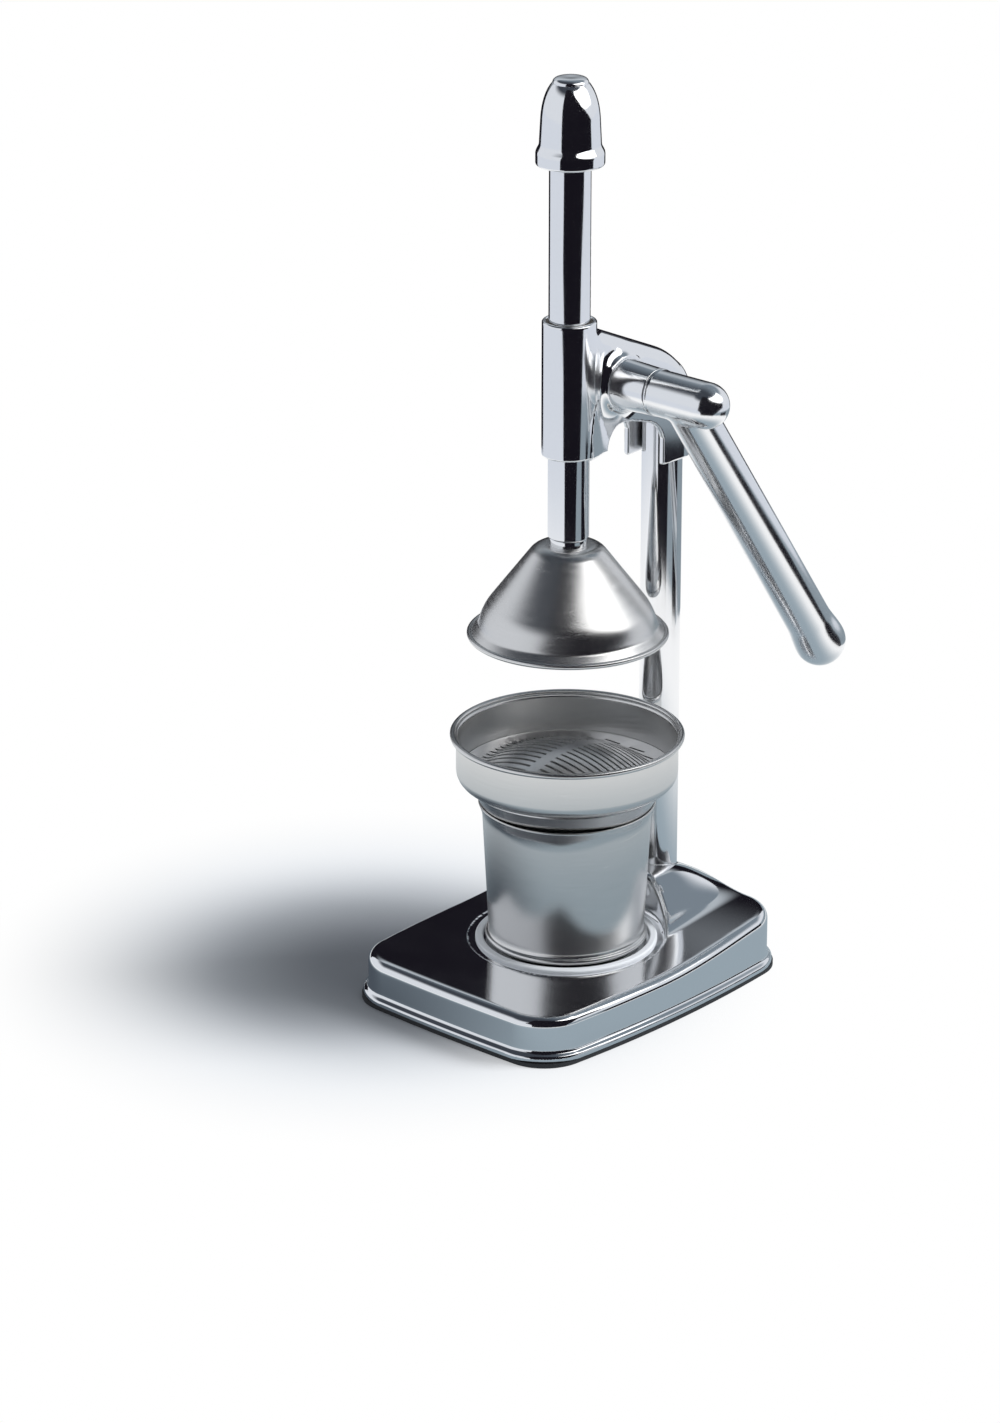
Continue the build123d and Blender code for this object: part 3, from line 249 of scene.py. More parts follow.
# Painted reflection of the table for glossy rays: white, then grey far out, with painted shade near
# the base that is darkest on the shadow side.
lit = mixed_colour(tree, fade_over(tree, away, *FAR_FADE), WHITE, FAR_SHADE)
near = mixed_colour(tree, fade_over(tree, aside, *SHADE_FADE), SHADOW_SHADE, NEAR_SHADE)
shade = mixed_colour(tree, fade_over(tree, away, *LIT_FADE), near, lit)
mirrored = add_node(tree, "ShaderNodeEmission", {"Color": shade, "Strength": 1.0})
mixed = add_node(tree, "ShaderNodeMixShader", {0: seen_by(tree, "Is Glossy Ray"),
                                               1: mixed.outputs[0], 2: mirrored.outputs[0]})
tree.links.new(mixed.outputs[0], output.inputs["Surface"])
table_white.cycles.emission_sampling = "NONE"
table.data.materials.append(table_white)
print(f"table of {2 * TABLE_RADIUS} m across")

# %% [markdown]
# ## The cards
# Chrome is shown off with black and white cards that stand round it, and each becomes a band on
# the metal. A card here is a curved sheet round the press that only glossy rays see, so it
# casts no shadow and never shows itself. Its outline is a few rows, each a height and the
# azimuths of its two ends, because a band is as wide as the card is at that height. It can
# change to another shade towards the top.

# %% Card helper
def card(name, radius, rows, shade, top_shade=None, fade=(0.0, 1.0), columns=48):
    """A curved upright sheet round the press; each row is a height and two azimuths."""
    mesh = bpy.data.meshes.new(name)
    points = []
    for height, first, last in rows:
        for turn in np.radians(np.linspace(first, last, columns + 1)):
            points.append((radius * math.sin(turn), -radius * math.cos(turn), height))
    faces = [(a, a + 1, a + columns + 2, a + columns + 1)
             for row in range(len(rows) - 1)
             for a in range(row * (columns + 1), row * (columns + 1) + columns)]
    mesh.from_pydata(points, [], faces)
    made = bpy.data.objects.new(name, mesh)
    bpy.context.scene.collection.objects.link(made)
    material, tree, output = new_material(name)
    where = add_node(tree, "ShaderNodeTexCoord")
    part = add_node(tree, "ShaderNodeSeparateXYZ", {0: where.outputs["Object"]})
    tone = mixed_colour(tree, fade_over(tree, part.outputs["Z"], *fade), (*shade, 1.0),
                        (*(top_shade or shade), 1.0))
    lit = add_node(tree, "ShaderNodeEmission", {"Color": tone, "Strength": 1.0})
    tree.links.new(lit.outputs[0], output.inputs["Surface"])
    material.cycles.emission_sampling = "NONE"
    mesh.materials.append(material)
    made.visible_camera = False
    made.visible_diffuse = False
    made.visible_transmission = False
    made.visible_volume_scatter = False
    made.visible_shadow = False
    return made


# %% [markdown]
# The tall black card in front, to the right, draws the hard dark band down the rod, the sleeve
# and the post. The low one farther round draws the dark line along the handle, and the grey one
# gives the lower walls their slate tone. The card behind the press, to the left, turns the deck
# black, and fades upwards so that the shoulder gets a soft sheen. The bright card high on the
# right gives the glints, so its shade is above one.

# %% Cards
BLACK_CARD = (0.008, 0.007, 0.011)
GREY_CARD = (0.26, 0.31, 0.35)
REAR_CARD = (0.46, 0.50, 0.54)
GLOW_CARD = (1.9, 1.9, 1.9)
front_card = card("front_card", 0.5, [(0.0, 20, 80), (0.07, 20, 84), (0.15, 18, 98),
                                      (0.21, 5, 108), (0.25, 8, 122), (0.36, 10, 126),
                                      (0.44, 10, 108), (0.55, 10, 86), (0.7, 11, 70),
                                      (0.9, 12, 56), (1.1, 14, 44)], BLACK_CARD)
low_card = card("low_card", 0.5, [(0.0, 117, 150), (0.11, 117, 150)], BLACK_CARD)
grey_card = card("grey_card", 0.52, [(0.0, 70, 215), (0.13, 70, 215)], GREY_CARD)
back_card = card("back_card", 0.8, [(0.0, 190, 266), (0.9, 190, 266)], BLACK_CARD, REAR_CARD,
                 (0.40, 0.80))
glow_card = card("glow_card", 0.95, [(0.55, 72, 138), (0.75, 66, 142), (1.5, 60, 142)],
                 GLOW_CARD)
cards = (front_card, low_card, grey_card, back_card, glow_card)
print("cards:", ", ".join(sheet.name for sheet in cards))

# %% [markdown]
# ## The lamp
# One large square lamp behind the press, to its right, throws the soft shadow forward to the
# left. The world's fill does the rest, so the lamp can stay weak and pale surfaces keep their
# colour. Mirrors don't see it, because a lamp's edge would cut blotches into the fillets of the
# castings, and the bright card stands in for it there.

# %% Key lamp
KEY_POWER = 34.0
KEY_SIZE = 0.8
KEY_PLACE = Vector((1.15, 1.0, 1.25))
KEY_TARGET = Vector((0, 0, 0.1))

lamp_data = bpy.data.lights.new("key", "AREA")
lamp_data.shape = "RECTANGLE"
lamp_data.size = KEY_SIZE
lamp_data.size_y = KEY_SIZE
lamp_data.energy = KEY_POWER
key_lamp = bpy.data.objects.new("key", lamp_data)
bpy.context.scene.collection.objects.link(key_lamp)
key_lamp.location = KEY_PLACE
key_lamp.rotation_mode = "QUATERNION"
key_lamp.rotation_quaternion = (KEY_TARGET - KEY_PLACE).to_track_quat("-Z", "Y")
key_lamp.visible_glossy = False
print(f"key lamp of {KEY_POWER} W, {(KEY_TARGET - KEY_PLACE).length:.2f} m away")

# %% [markdown]
# ## Finishes: polished chrome
# Nearly all of the press is bare metal, and a metal's look is in its roughness, its grain and its
# smallest dents. A mirror with one even roughness would look drawn, not polished. Each finish is
# a function of a few values, so a duller lever or a softer sieve is one more call. Chrome gets
# faint polishing haze and the slight waviness of a casting. Where one mirror shows another,
# the second one is softer, as no casting is true enough to carry a sharp picture twice. All
# patterns read Object coordinates, so they stay with a piece that moves.

# %% Polished chrome
SECOND_MIRROR_BLUR = 0.24


def polished(name, colour, rough, haze, wave):
    """Mirror metal with polishing haze and a very slight waviness."""
    material, tree, output = new_material(name)
    where = add_node(tree, "ShaderNodeTexCoord")
    cloud = add_node(tree, "ShaderNodeTexNoise", {"Vector": where.outputs["Object"],
                                                  "Scale": 55.0, "Detail": 5.0})
    fine = add_node(tree, "ShaderNodeTexNoise", {"Vector": where.outputs["Object"],
                                                 "Scale": 900.0, "Detail": 3.0})
    tone = add_node(tree, "ShaderNodeMapRange", {"Value": fine.outputs["Fac"],
                                                 "To Min": 0.96, "To Max": 1.0})
    tinted = add_node(tree, "ShaderNodeMix", {"Factor": 1.0, "A": (*colour, 1.0),
                                              "B": tone.outputs["Result"]},
                      data_type="RGBA", blend_type="MULTIPLY")
    gloss = add_node(tree, "ShaderNodeMapRange", {"Value": cloud.outputs["Fac"],
                                                  "From Min": 0.35, "From Max": 0.75,
                                                  "To Min": rough, "To Max": rough + haze})
    swell = add_node(tree, "ShaderNodeTexNoise", {"Vector": where.outputs["Object"],
                                                  "Scale": 38.0, "Detail": 1.0})
    dent = add_node(tree, "ShaderNodeBump", {"Strength": 1.0, "Distance": wave,
                                             "Height": swell.outputs["Fac"]})
    softer = add_node(tree, "ShaderNodeMath", {0: seen_by(tree, "Is Glossy Ray"),
                                               1: SECOND_MIRROR_BLUR,
                                               2: gloss.outputs["Result"]},
                      operation="MULTIPLY_ADD")
    shader = add_node(tree, "ShaderNodeBsdfPrincipled",
                      {"Base Color": tinted.outputs["Result"], "Metallic": 1.0,
                       "Roughness": softer.outputs[0], "Normal": dent.outputs["Normal"]})
    tree.links.new(shader.outputs[0], output.inputs["Surface"])
    return material


polished_chrome = polished("polished_chrome", (0.91, 0.92, 0.935), 0.065, 0.04, 0.00003)
lever_chrome = polished("lever_chrome", (0.91, 0.92, 0.935), 0.14, 0.03, 0.00002)
polished_sheet = polished("polished_sheet", (0.86, 0.86, 0.86), 0.30, 0.08, 0.00002)
print("polished finishes:", polished_chrome.name, lever_chrome.name, polished_sheet.name)

# %% [markdown]
# ## Brushed and turned metal
# A lathe and a polishing wheel leave fine rings round the axis, and the rings draw every
# highlight out into a fan. An image could hold them, but a noise has no seam and no size. It
# is stretched round the Z axis and squeezed along it, and it drives colour, roughness and bump
# together, so a ring that is paler is also a little duller, as a scratched one is. The fan
# comes from the Anisotropic input with a radial tangent.

# %% Brushed and turned metal
def turned_metal(name, colour, rough, grain, bump, around=0.75, bare=1.0):
    """Metal with fine rings round the Z axis, as a lathe or a spinning brush leaves them."""
    material, tree, output = new_material(name)
    where = add_node(tree, "ShaderNodeTexCoord")
    part = add_node(tree, "ShaderNodeSeparateXYZ", {0: where.outputs["Object"]})
    flat = add_node(tree, "ShaderNodeCombineXYZ", {"X": part.outputs["X"],
                                                   "Y": part.outputs["Y"]})
    radius = add_node(tree, "ShaderNodeVectorMath", {0: flat.outputs[0]}, operation="LENGTH")
    unit = add_node(tree, "ShaderNodeVectorMath", {0: flat.outputs[0]}, operation="NORMALIZE")
    sides = add_node(tree, "ShaderNodeVectorMath", {0: unit.outputs[0], 3: 2.2},
                     operation="SCALE")
    up = add_node(tree, "ShaderNodeMath", {0: part.outputs["Z"], 1: radius.outputs["Value"]},
                  operation="ADD")
    rows = add_node(tree, "ShaderNodeMath", {0: up.outputs[0], 1: grain}, operation="MULTIPLY")
    lift = add_node(tree, "ShaderNodeCombineXYZ", {"Z": rows.outputs[0]})
    spot = add_node(tree, "ShaderNodeVectorMath", {0: sides.outputs[0], 1: lift.outputs[0]},
                    operation="ADD")
    lines = add_node(tree, "ShaderNodeTexNoise", {"Vector": spot.outputs[0], "Scale": 1.0,
                                                  "Detail": 6.0, "Roughness": 0.7})
    cloud = add_node(tree, "ShaderNodeTexNoise", {"Vector": where.outputs["Object"],
                                                  "Scale": 30.0, "Detail": 3.0})
    tone = add_node(tree, "ShaderNodeMapRange", {"Value": lines.outputs["Fac"],
                                                 "From Min": 0.25, "From Max": 0.75,
                                                 "To Min": 0.92, "To Max": 1.0})
    tinted = add_node(tree, "ShaderNodeMix", {"Factor": 1.0, "A": (*colour, 1.0),
                                              "B": tone.outputs["Result"]},
                      data_type="RGBA", blend_type="MULTIPLY")
    streak = add_node(tree, "ShaderNodeMapRange", {"Value": lines.outputs["Fac"],
                                                   "From Min": 0.25, "From Max": 0.75,
                                                   "To Min": rough - 0.04,
                                                   "To Max": rough + 0.04})
    patch = add_node(tree, "ShaderNodeMapRange", {"Value": cloud.outputs["Fac"],
                                                  "From Min": 0.3, "From Max": 0.7,
                                                  "To Min": -0.01, "To Max": 0.01})
    gloss = add_node(tree, "ShaderNodeMath", {0: streak.outputs["Result"],
                                              1: patch.outputs["Result"]}, operation="ADD")
    rings = add_node(tree, "ShaderNodeBump", {"Strength": 1.0, "Distance": bump,
                                              "Height": lines.outputs["Fac"]})
    round_z = add_node(tree, "ShaderNodeTangent", direction_type="RADIAL", axis="Z")
    shader = add_node(tree, "ShaderNodeBsdfPrincipled",
                      {"Base Color": tinted.outputs["Result"], "Metallic": bare,
                       "Roughness": gloss.outputs[0], "Anisotropic": around,
                       "Normal": rings.outputs["Normal"], "Tangent": round_z.outputs[0]})
    tree.links.new(shader.outputs[0], output.inputs["Surface"])
    return material


brushed_sheet = turned_metal("brushed_sheet", (0.78, 0.777, 0.77), 0.24, 2600.0, 0.0000025)
bright_steel = turned_metal("bright_steel", (0.62, 0.62, 0.63), 0.22, 1500.0, 0.000004, 0.4)
zinc_steel = turned_metal("zinc_steel", (0.60, 0.62, 0.66), 0.42, 700.0, 0.000008, 0.1)
bush_bronze = turned_metal("bush_bronze", (0.20, 0.165, 0.13), 0.38, 1200.0, 0.000005, 0.4)
black_steel = turned_metal("black_steel", (0.045, 0.045, 0.05), 0.38, 1500.0, 0.000005, 0.2)
pale_metal = turned_metal("pale_metal", (0.88, 0.91, 0.95), 0.45, 1500.0, 0.000003, 0.3, 0.1)
print("turned finishes:", brushed_sheet.name, bright_steel.name, zinc_steel.name,
      bush_bronze.name, black_steel.name, pale_metal.name)

# %% [markdown]
# ## The pad
# The press stands on a thin pad of black rubber, which keeps it from sliding. A moulded surface
# is matt and very slightly grainy, and dust makes it paler here and there, so one noise gives
# the grain as bump and a slower one mixes two dark tones and two roughnesses.

# %% Pad
def rubber(name, colour, rough):
    """Matt black rubber with a fine moulded grain."""
    material, tree, output = new_material(name)
    where = add_node(tree, "ShaderNodeTexCoord")
    grain = add_node(tree, "ShaderNodeTexNoise", {"Vector": where.outputs["Object"],
                                                  "Scale": 1400.0, "Detail": 4.0})
    dust = add_node(tree, "ShaderNodeTexNoise", {"Vector": where.outputs["Object"],
                                                 "Scale": 40.0, "Detail": 4.0})
    tint = add_node(tree, "ShaderNodeMix", {"Factor": dust.outputs["Fac"], "A": (*colour, 1.0),
                                            "B": (*[2 * c for c in colour], 1.0)},
                    data_type="RGBA")
    bump = add_node(tree, "ShaderNodeBump", {"Strength": 0.4, "Distance": 0.00005,
                                             "Height": grain.outputs["Fac"]})
    gloss = add_node(tree, "ShaderNodeMapRange", {"Value": dust.outputs["Fac"],
                                                  "To Min": rough - 0.08, "To Max": rough + 0.1})
    shader = add_node(tree, "ShaderNodeBsdfPrincipled",
                      {"Base Color": tint.outputs["Result"], "Roughness": gloss.outputs["Result"],
                       "Normal": bump.outputs["Normal"]})
    tree.links.new(shader.outputs[0], output.inputs["Surface"])
    return material


dark_pad = rubber("dark_pad", (0.018, 0.018, 0.02), 0.6)
print("rubber finish:", dark_pad.name)

# %% [markdown]
# ## Finishes on the CAD nodes
# Every node of the frame has a slot that bears the name of its finish. The slot's material is
# exchanged for the one made above, and the node's mesh stays as it is. Nodes that get a finer
# mesh later are dressed too, so that nothing is ever left bare.

# %% Give every CAD node its finish
FINISHES = {"polished_chrome": polished_chrome, "polished_sheet": polished_sheet,
            "brushed_sheet": brushed_sheet, "bright_steel": bright_steel,
            "zinc_steel": zinc_steel, "bush_bronze": bush_bronze, "black_steel": black_steel,
            "pale_metal": pale_metal, "dark_pad": dark_pad}
for name, piece in nodes.items():
    for place in piece.material_slots:
        place.material = FINISHES[place.material.name.split(".")[0]]
print(f"{len(nodes)} nodes in {len(FINISHES)} finishes")

# %% [markdown]
# ## Cast and pressed forms
# Castings and pressings have no hard edges: walls run into each other in soft fillets, and chrome
# shows every one of them. Bevels on a cut mesh tear where several of them meet. A distance
# function can't tear: it says for any point in millimetres how far it lies outside the metal,
# or, below nought, inside. Two small rules then do the modelling. `rounded_cut` keeps what two
# forms share and rounds the edge between them, and `blended` joins two forms with a fillet.

# %% Rules for joining forms
def rounded_cut(a, b, radius):
    """What two forms share, with the outer edge between them rounded."""
    return (np.minimum(np.maximum(a, b), -radius)
            + np.hypot(np.maximum(a + radius, 0), np.maximum(b + radius, 0)))


def blended(a, b, reach):
    """Two forms joined, with a fillet in the corner between them."""
    near = np.maximum(reach - np.abs(a - b), 0) / reach
    return np.minimum(a, b) - near * near * reach / 4


# %% [markdown]
# A grid of samples finds the cells that the surface passes through. Each such cell gets one
# point, which is then walked along the slope of the distance function until it lies on the
# surface, and neighbouring cells are joined by quads. The same slope gives the exact normal at
# each point, so mirror metal stays calm although the mesh is coarse.

# %% Mesh from a distance function
def surface_cells(field):
    """First points, in grid steps, and quads of the surface in a block of samples."""
    cells = [n - 1 for n in field.shape]
    total = np.zeros((*cells, 3))
    hits = np.zeros(cells)
    for axis in range(3):
        for p, q in ((0, 0), (0, 1), (1, 0), (1, 1)):
            start = [p, q]
            start.insert(axis, 0)
            end = list(start)
            end[axis] = 1
            a = field[tuple(slice(s, s + n) for s, n in zip(start, cells))]
            b = field[tuple(slice(s, s + n) for s, n in zip(end, cells))]
            crossed = (a < 0) != (b < 0)
            spot = np.repeat(np.array([start], float), crossed.sum(), 0)
            spot[:, axis] = a[crossed] / (a[crossed] - b[crossed])
            total[crossed] += spot
            hits += crossed
    used = hits > 0
    number = np.full(cells, -1)
    number[used] = np.arange(used.sum())
    points = np.argwhere(used) + total[used] / hits[used][:, None]
    inside = field < 0
    quads = []
    for axis in range(3):
        u, v = (axis + 1) % 3, (axis + 2) % 3
        near = [slice(1, -1)] * 3
        far = [slice(1, -1)] * 3
        near[axis] = slice(0, -1)
        far[axis] = slice(1, None)
        a, b = inside[tuple(near)], inside[tuple(far)]
        for outwards, where in ((True, a & ~b), (False, b & ~a)):
            corner = np.argwhere(where)
            corner[:, u] += 1
            corner[:, v] += 1
            ring = []
            for du, dv in ((-1, -1), (0, -1), (0, 0), (-1, 0)):
                cell = corner.copy()
                cell[:, u] += du
                cell[:, v] += dv
                ring.append(number[tuple(cell.T)])
            quad = np.stack(ring, 1)
            quads.append(quad if outwards else quad[:, ::-1])
    return points, np.concatenate(quads)


def slope_at(distance, points, reach=0.02):
    """Slope of the distance function at each point."""
    steps = [distance(*(points + reach * unit).T) - distance(*(points - reach * unit).T)
             for unit in np.eye(3)]
    return np.stack(steps, 1) / (2 * reach)


def surface_of(distance, low, high, step):
    """Points in millimetres, outward normals and quads of a form's surface."""
    axes = [np.arange(a, b + step, step) for a, b in zip(low, high)]
    field = distance(*np.meshgrid(*axes, indexing="ij"))
    points, quads = surface_cells(field)
    points = np.array(low, float) + step * points
    for _ in range(4):
        slope = slope_at(distance, points)
        walk = slope * (distance(*points.T) / np.maximum((slope ** 2).sum(1), 0.05))[:, None]
        points -= np.clip(walk, -step / 2, step / 2)
    normals = slope_at(distance, points)
    normals /= np.maximum(np.linalg.norm(normals, axis=1), 1e-9)[:, None]
    return points, normals, quads


# %% Mesh object helper
def solid_piece(name, points, quads, material, normals=None):
    """A smooth mesh object from points in millimetres."""
    mesh = bpy.data.meshes.new(name)
    mesh.from_pydata((np.asarray(points) * 0.001).tolist(), [],
                     [list(map(int, face)) for face in quads])
    mesh.polygons.foreach_set("use_smooth", [True] * len(mesh.polygons))
    if normals is not None:
        mesh.normals_split_custom_set_from_vertices(normals.tolist())
    mesh.materials.append(material)
    made = bpy.data.objects.new(name, mesh)
    bpy.context.scene.collection.objects.link(made)
    print(f"{name}: {len(points)} points, {len(quads)} faces")
    return made


# %% [markdown]
# ## The head
# The head is one hollow casting: a guide sleeve for the plunger, an arm that slopes back and
# rolls over into the post socket, and round bosses for the pivot. The arm is the overlap of its
# side view and its top view with a generous round between them. Below the bosses a web draws in
# to the sleeve with a flat facet on each side, and an arch is cut through both walls. All of it is
# one distance function, put together in the order a pattern maker would work, because every
# fillet then follows from the two forms that meet there.

# %% Head sizes, in millimetres
SLEEVE_R = 12.5
SLEEVE_SPAN = (261.8, 325.5)
SLEEVE_BORE = 10.7
HUB_Y, HUB_Z = 23.15, 293.05
POST_Y = 65.0
ARM_SLOPE = math.radians(23.6)
ARM_BEND_Y, ARM_BEND_Z, ARM_BEND_R = 35.7, 263.97, 42.0
ARM_FOOT = 246.5
ARM_HALF, ARM_BACK_R = 9.6, 12.69
TAPER_COS, TAPER_SIN, TAPER = 0.99886, 0.0476, 0.0477
ARM_ROUND_LEAST, ARM_ROUND_GAIN = 0.2, 7.3
WEB_TOP, WEB_START, WEB_DEPTH = 286.9, 7.6, 30
WEB_SPREAD, WEB_OVERLAP = 0.42, 1.5
BOSS_R, BOSS_HALF, BOSS_FILLET, SLEEVE_FILLET = 12.3, 13.9, 7.5, 3.2
INNER_BOSS_R, INNER_BOSS_HALF, PIVOT_BORE = 9.0, 12.0, 6.6
PINION_ROOM_HALF, PINION_ROOM_HEIGHT = 5.0, 14.2
SOCKET_R, SOCKET_TOP = 9.55, 270.3
HEAD_WALL = 2.6
GRUB_HEIGHTS, GRUB_HOLE_R = (252.5, 263.5), 2.6
HEAD_STEP = 0.72
ARCH = np.array([(-12.5, 261.8), (-12.5, 240.0), (51.8, 240.0), (51.8, 259.3), (50.6, 262.6),
                 (48.8, 265.2), (46.5, 267.2), (43.6, 268.8), (40.0, 270.1), (35.8, 271.2),
                 (30.5, 272.6), (27.5, 273.1), (25.0, 273.2), (22.6, 272.9), (20.4, 271.9),
                 (18.6, 270.2), (17.0, 267.8), (15.7, 265.0), (14.6, 261.8)])
print(f"sleeve of {2 * SLEEVE_R} mm, {SLEEVE_SPAN[1] - SLEEVE_SPAN[0]:.1f} mm long")


# %% Parts of the head's distance function
def outside_polygon(u, v, corners):
    """Distance in a plane from a closed outline, below nought inside it."""
    best = np.full(np.shape(u), 1e9)
    inside = np.zeros(np.shape(u), bool)
    for (u0, v0), (u1, v1) in zip(corners, np.roll(corners, -1, axis=0)):
        du, dv = u1 - u0, v1 - v0
        along = np.clip(((u - u0) * du + (v - v0) * dv) / (du * du + dv * dv), 0, 1)
        best = np.minimum(best, np.hypot(u - u0 - along * du, v - v0 - along * dv))
        if dv:
            inside ^= ((v0 > v) != (v1 > v)) & (u < u0 + (v - v0) * du / dv)
    return np.where(inside, -best, best)


def arm_side_view(y, z):
    """The slope, the arc down the back and the straight back of the socket."""
    u, v = y - ARM_BEND_Y, z - ARM_BEND_Z
    flat = u * math.sin(ARM_SLOPE) + v * math.cos(ARM_SLOPE) - ARM_BEND_R
    down_slope = u * math.cos(ARM_SLOPE) - v * math.sin(ARM_SLOPE)
    rolled = (down_slope > 0) & (v > 0)
    return np.where(rolled, np.hypot(u, v) - ARM_BEND_R, np.maximum(flat, u - ARM_BEND_R))


def arm_top_view(side, y):
    """Narrow at the sleeve, wider towards the post and round about it."""
    straight = (side - ARM_HALF) * TAPER_COS - y * TAPER_SIN
    beyond = (y - POST_Y) * TAPER_COS + side * TAPER_SIN > 0
    return np.where(beyond, np.hypot(side, y - POST_Y) - ARM_BACK_R, straight)


def web_facet(side, y, z):
    """Flat draw-in from the web to the sleeve, wider towards the bottom."""
    crease_y = WEB_START + np.clip(WEB_TOP - z, 0, WEB_DEPTH) * WEB_SPREAD
    crease_x = ARM_HALF + TAPER * crease_y
    far = np.maximum(np.hypot(crease_x, crease_y), SLEEVE_R + 0.001)
    turn = np.arctan2(crease_y, crease_x) - np.arccos(SLEEVE_R / far)
    out = side * np.cos(turn) + y * np.sin(turn) - SLEEVE_R
    out = np.maximum(out, side * np.sin(turn) - y * np.cos(turn))
    return np.maximum(np.maximum(out, z - WEB_TOP), y - crease_y - WEB_OVERLAP)


def arm_round(side, y, z):
    """Round between the two views: full along the top, hardly any where they run alongside."""
    u, v = y - ARM_BEND_Y, np.maximum(z - ARM_BEND_Z, 0)
    leaning_back = np.clip(u / np.maximum(np.hypot(u, v), 1e-6), 0, 1)
    facing_back = np.clip((y - POST_Y) / np.maximum(np.hypot(side, y - POST_Y), 1e-6), 0, 1)
    return ARM_ROUND_LEAST + ARM_ROUND_GAIN * (1 - leaning_back * facing_back)


# %% Head form
def head_form(x, y, z):
    """Distance from the head casting; the last figure of each cut is the round on its edge."""
    side = np.abs(x)
    view, plan = arm_side_view(y, z), arm_top_view(side, y)
    edge = arm_round(side, y, z)
    arm = rounded_cut(rounded_cut(view, plan, edge), ARM_FOOT - z, 0.8)
    arm = np.maximum(arm, -y)
    arm = np.minimum(arm, np.maximum(web_facet(side, y, z), SLEEVE_SPAN[0] - z))
    pivot = np.hypot(y - HUB_Y, z - HUB_Z)
    boss = rounded_cut(pivot - BOSS_R, side - BOSS_HALF, 0.8)
    body = blended(arm, boss, BOSS_FILLET)
    hollow = rounded_cut(view + HEAD_WALL, plan + HEAD_WALL, np.maximum(edge - HEAD_WALL, 0.2))
    body = rounded_cut(body, -hollow, 0.6)
    body = rounded_cut(body, -outside_polygon(y, z, ARCH), 0.7)
    reach = np.hypot(x, y)
    half = (SLEEVE_SPAN[1] - SLEEVE_SPAN[0]) / 2
    sleeve = rounded_cut(reach - SLEEVE_R, np.abs(z - SLEEVE_SPAN[0] - half) - half, 1.0)
    body = blended(body, sleeve, SLEEVE_FILLET)
    inner_boss = np.maximum(pivot - INNER_BOSS_R,
                            np.maximum(PINION_ROOM_HALF - side, side - INNER_BOSS_HALF))
    body = np.minimum(body, inner_boss)
    body = rounded_cut(body, SLEEVE_BORE - reach, 0.5)
    body = np.maximum(np.maximum(body, side - BOSS_HALF), PIVOT_BORE - pivot)
    pinion_room = np.maximum(np.maximum(side - PINION_ROOM_HALF,
                                        np.abs(z - HUB_Z) - PINION_ROOM_HEIGHT),
                             np.maximum(-y, y - HUB_Y))
    body = np.maximum(body, -pinion_room)
    socket = np.maximum(np.hypot(x, y - POST_Y) - SOCKET_R, z - SOCKET_TOP)
    body = np.maximum(body, -socket)
    for grub in GRUB_HEIGHTS:
        hole = np.maximum(np.hypot(x, z - grub) - GRUB_HOLE_R, POST_Y - y)
        body = np.maximum(body, -hole)
    return body


head_points, head_normals, head_quads = surface_of(head_form, (-15.2, -13.7, 245.2),
                                                   (15.2, 79.0, 327.0), HEAD_STEP)
print("head reaches", head_points.min(0).round(2), "to", head_points.max(0).round(2))
head_piece = solid_piece("head_casting_blended", head_points, head_quads, polished_chrome,
                         head_normals)
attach(head_piece, "frame")
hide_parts("head_casting")

# %% [markdown]
# ## The lever
# The lever is one casting too. Its hub is a short round bar with a domed end and a raised lip
# where it meets the collar, and its handle is a slim round bar that swells into a bulb. A lathe
# profile would make the handle but not its blend into the hub, so this is a distance function
# too. It is written in the handle's own directions, across, along and outwards, and turned
# into place afterwards.

# %% Lever
LEVER_DROP = math.radians(54.7)
LEVER_X = 48.6
HUB_FROM, HUB_TO, HUB_R = 33.3, 61.6, 10.65
LIP_R, LIP_HALF = 11.0, 0.65
HANDLE_R, HANDLE_GAIN = 10.3, 0.65
NECK_AT, NECK_R, NECK_LENGTH = 158.0, 10.95, 17.3
BULB_AT, BULB_R = 175.3, 12.3
LEVER_BORE, LEVER_GRUB_R = 5.05, 2.6
LEVER_STEP = 0.7
ALONG = np.array([0, math.cos(LEVER_DROP), -math.sin(LEVER_DROP)])
OUTWARDS = np.array([0, math.sin(LEVER_DROP), math.cos(LEVER_DROP)])


def handle_radius(t):
    """Radius of the handle at a distance from the hub's axis."""
    slim = HANDLE_R + HANDLE_GAIN * np.clip(t / NECK_AT, 0, 1)
    swell = np.clip((t - NECK_AT) / NECK_LENGTH, 0, 1)
    return slim + (BULB_R - NECK_R) * swell * swell * (3 - 2 * swell)


def lever_form(x, t, w):
    """Distance from the lever, in its own directions."""
    hub = np.where(x > HUB_TO, np.sqrt((x - HUB_TO) ** 2 + t * t + w * w), np.hypot(t, w)) - HUB_R
    hub = rounded_cut(hub, HUB_FROM - x, 0.3)
    lip = rounded_cut(np.hypot(t, w) - LIP_R, np.abs(x - HUB_FROM - LIP_HALF) - LIP_HALF, 0.35)
    hub = blended(hub, lip, 0.5)
    bar = np.hypot(x - LEVER_X, w)
    handle = np.where(t > BULB_AT, np.hypot(bar, t - BULB_AT) - BULB_R, bar - handle_radius(t))
    body = blended(hub, np.maximum(handle, -t), 1.4)
    body = np.maximum(np.maximum(body, HUB_FROM - x),
                      -np.maximum(np.hypot(t, w) - LEVER_BORE, x - HUB_TO))
    grub = np.maximum(np.hypot(x - LEVER_X, t) - LEVER_GRUB_R, -w)
    return np.maximum(body, -grub)


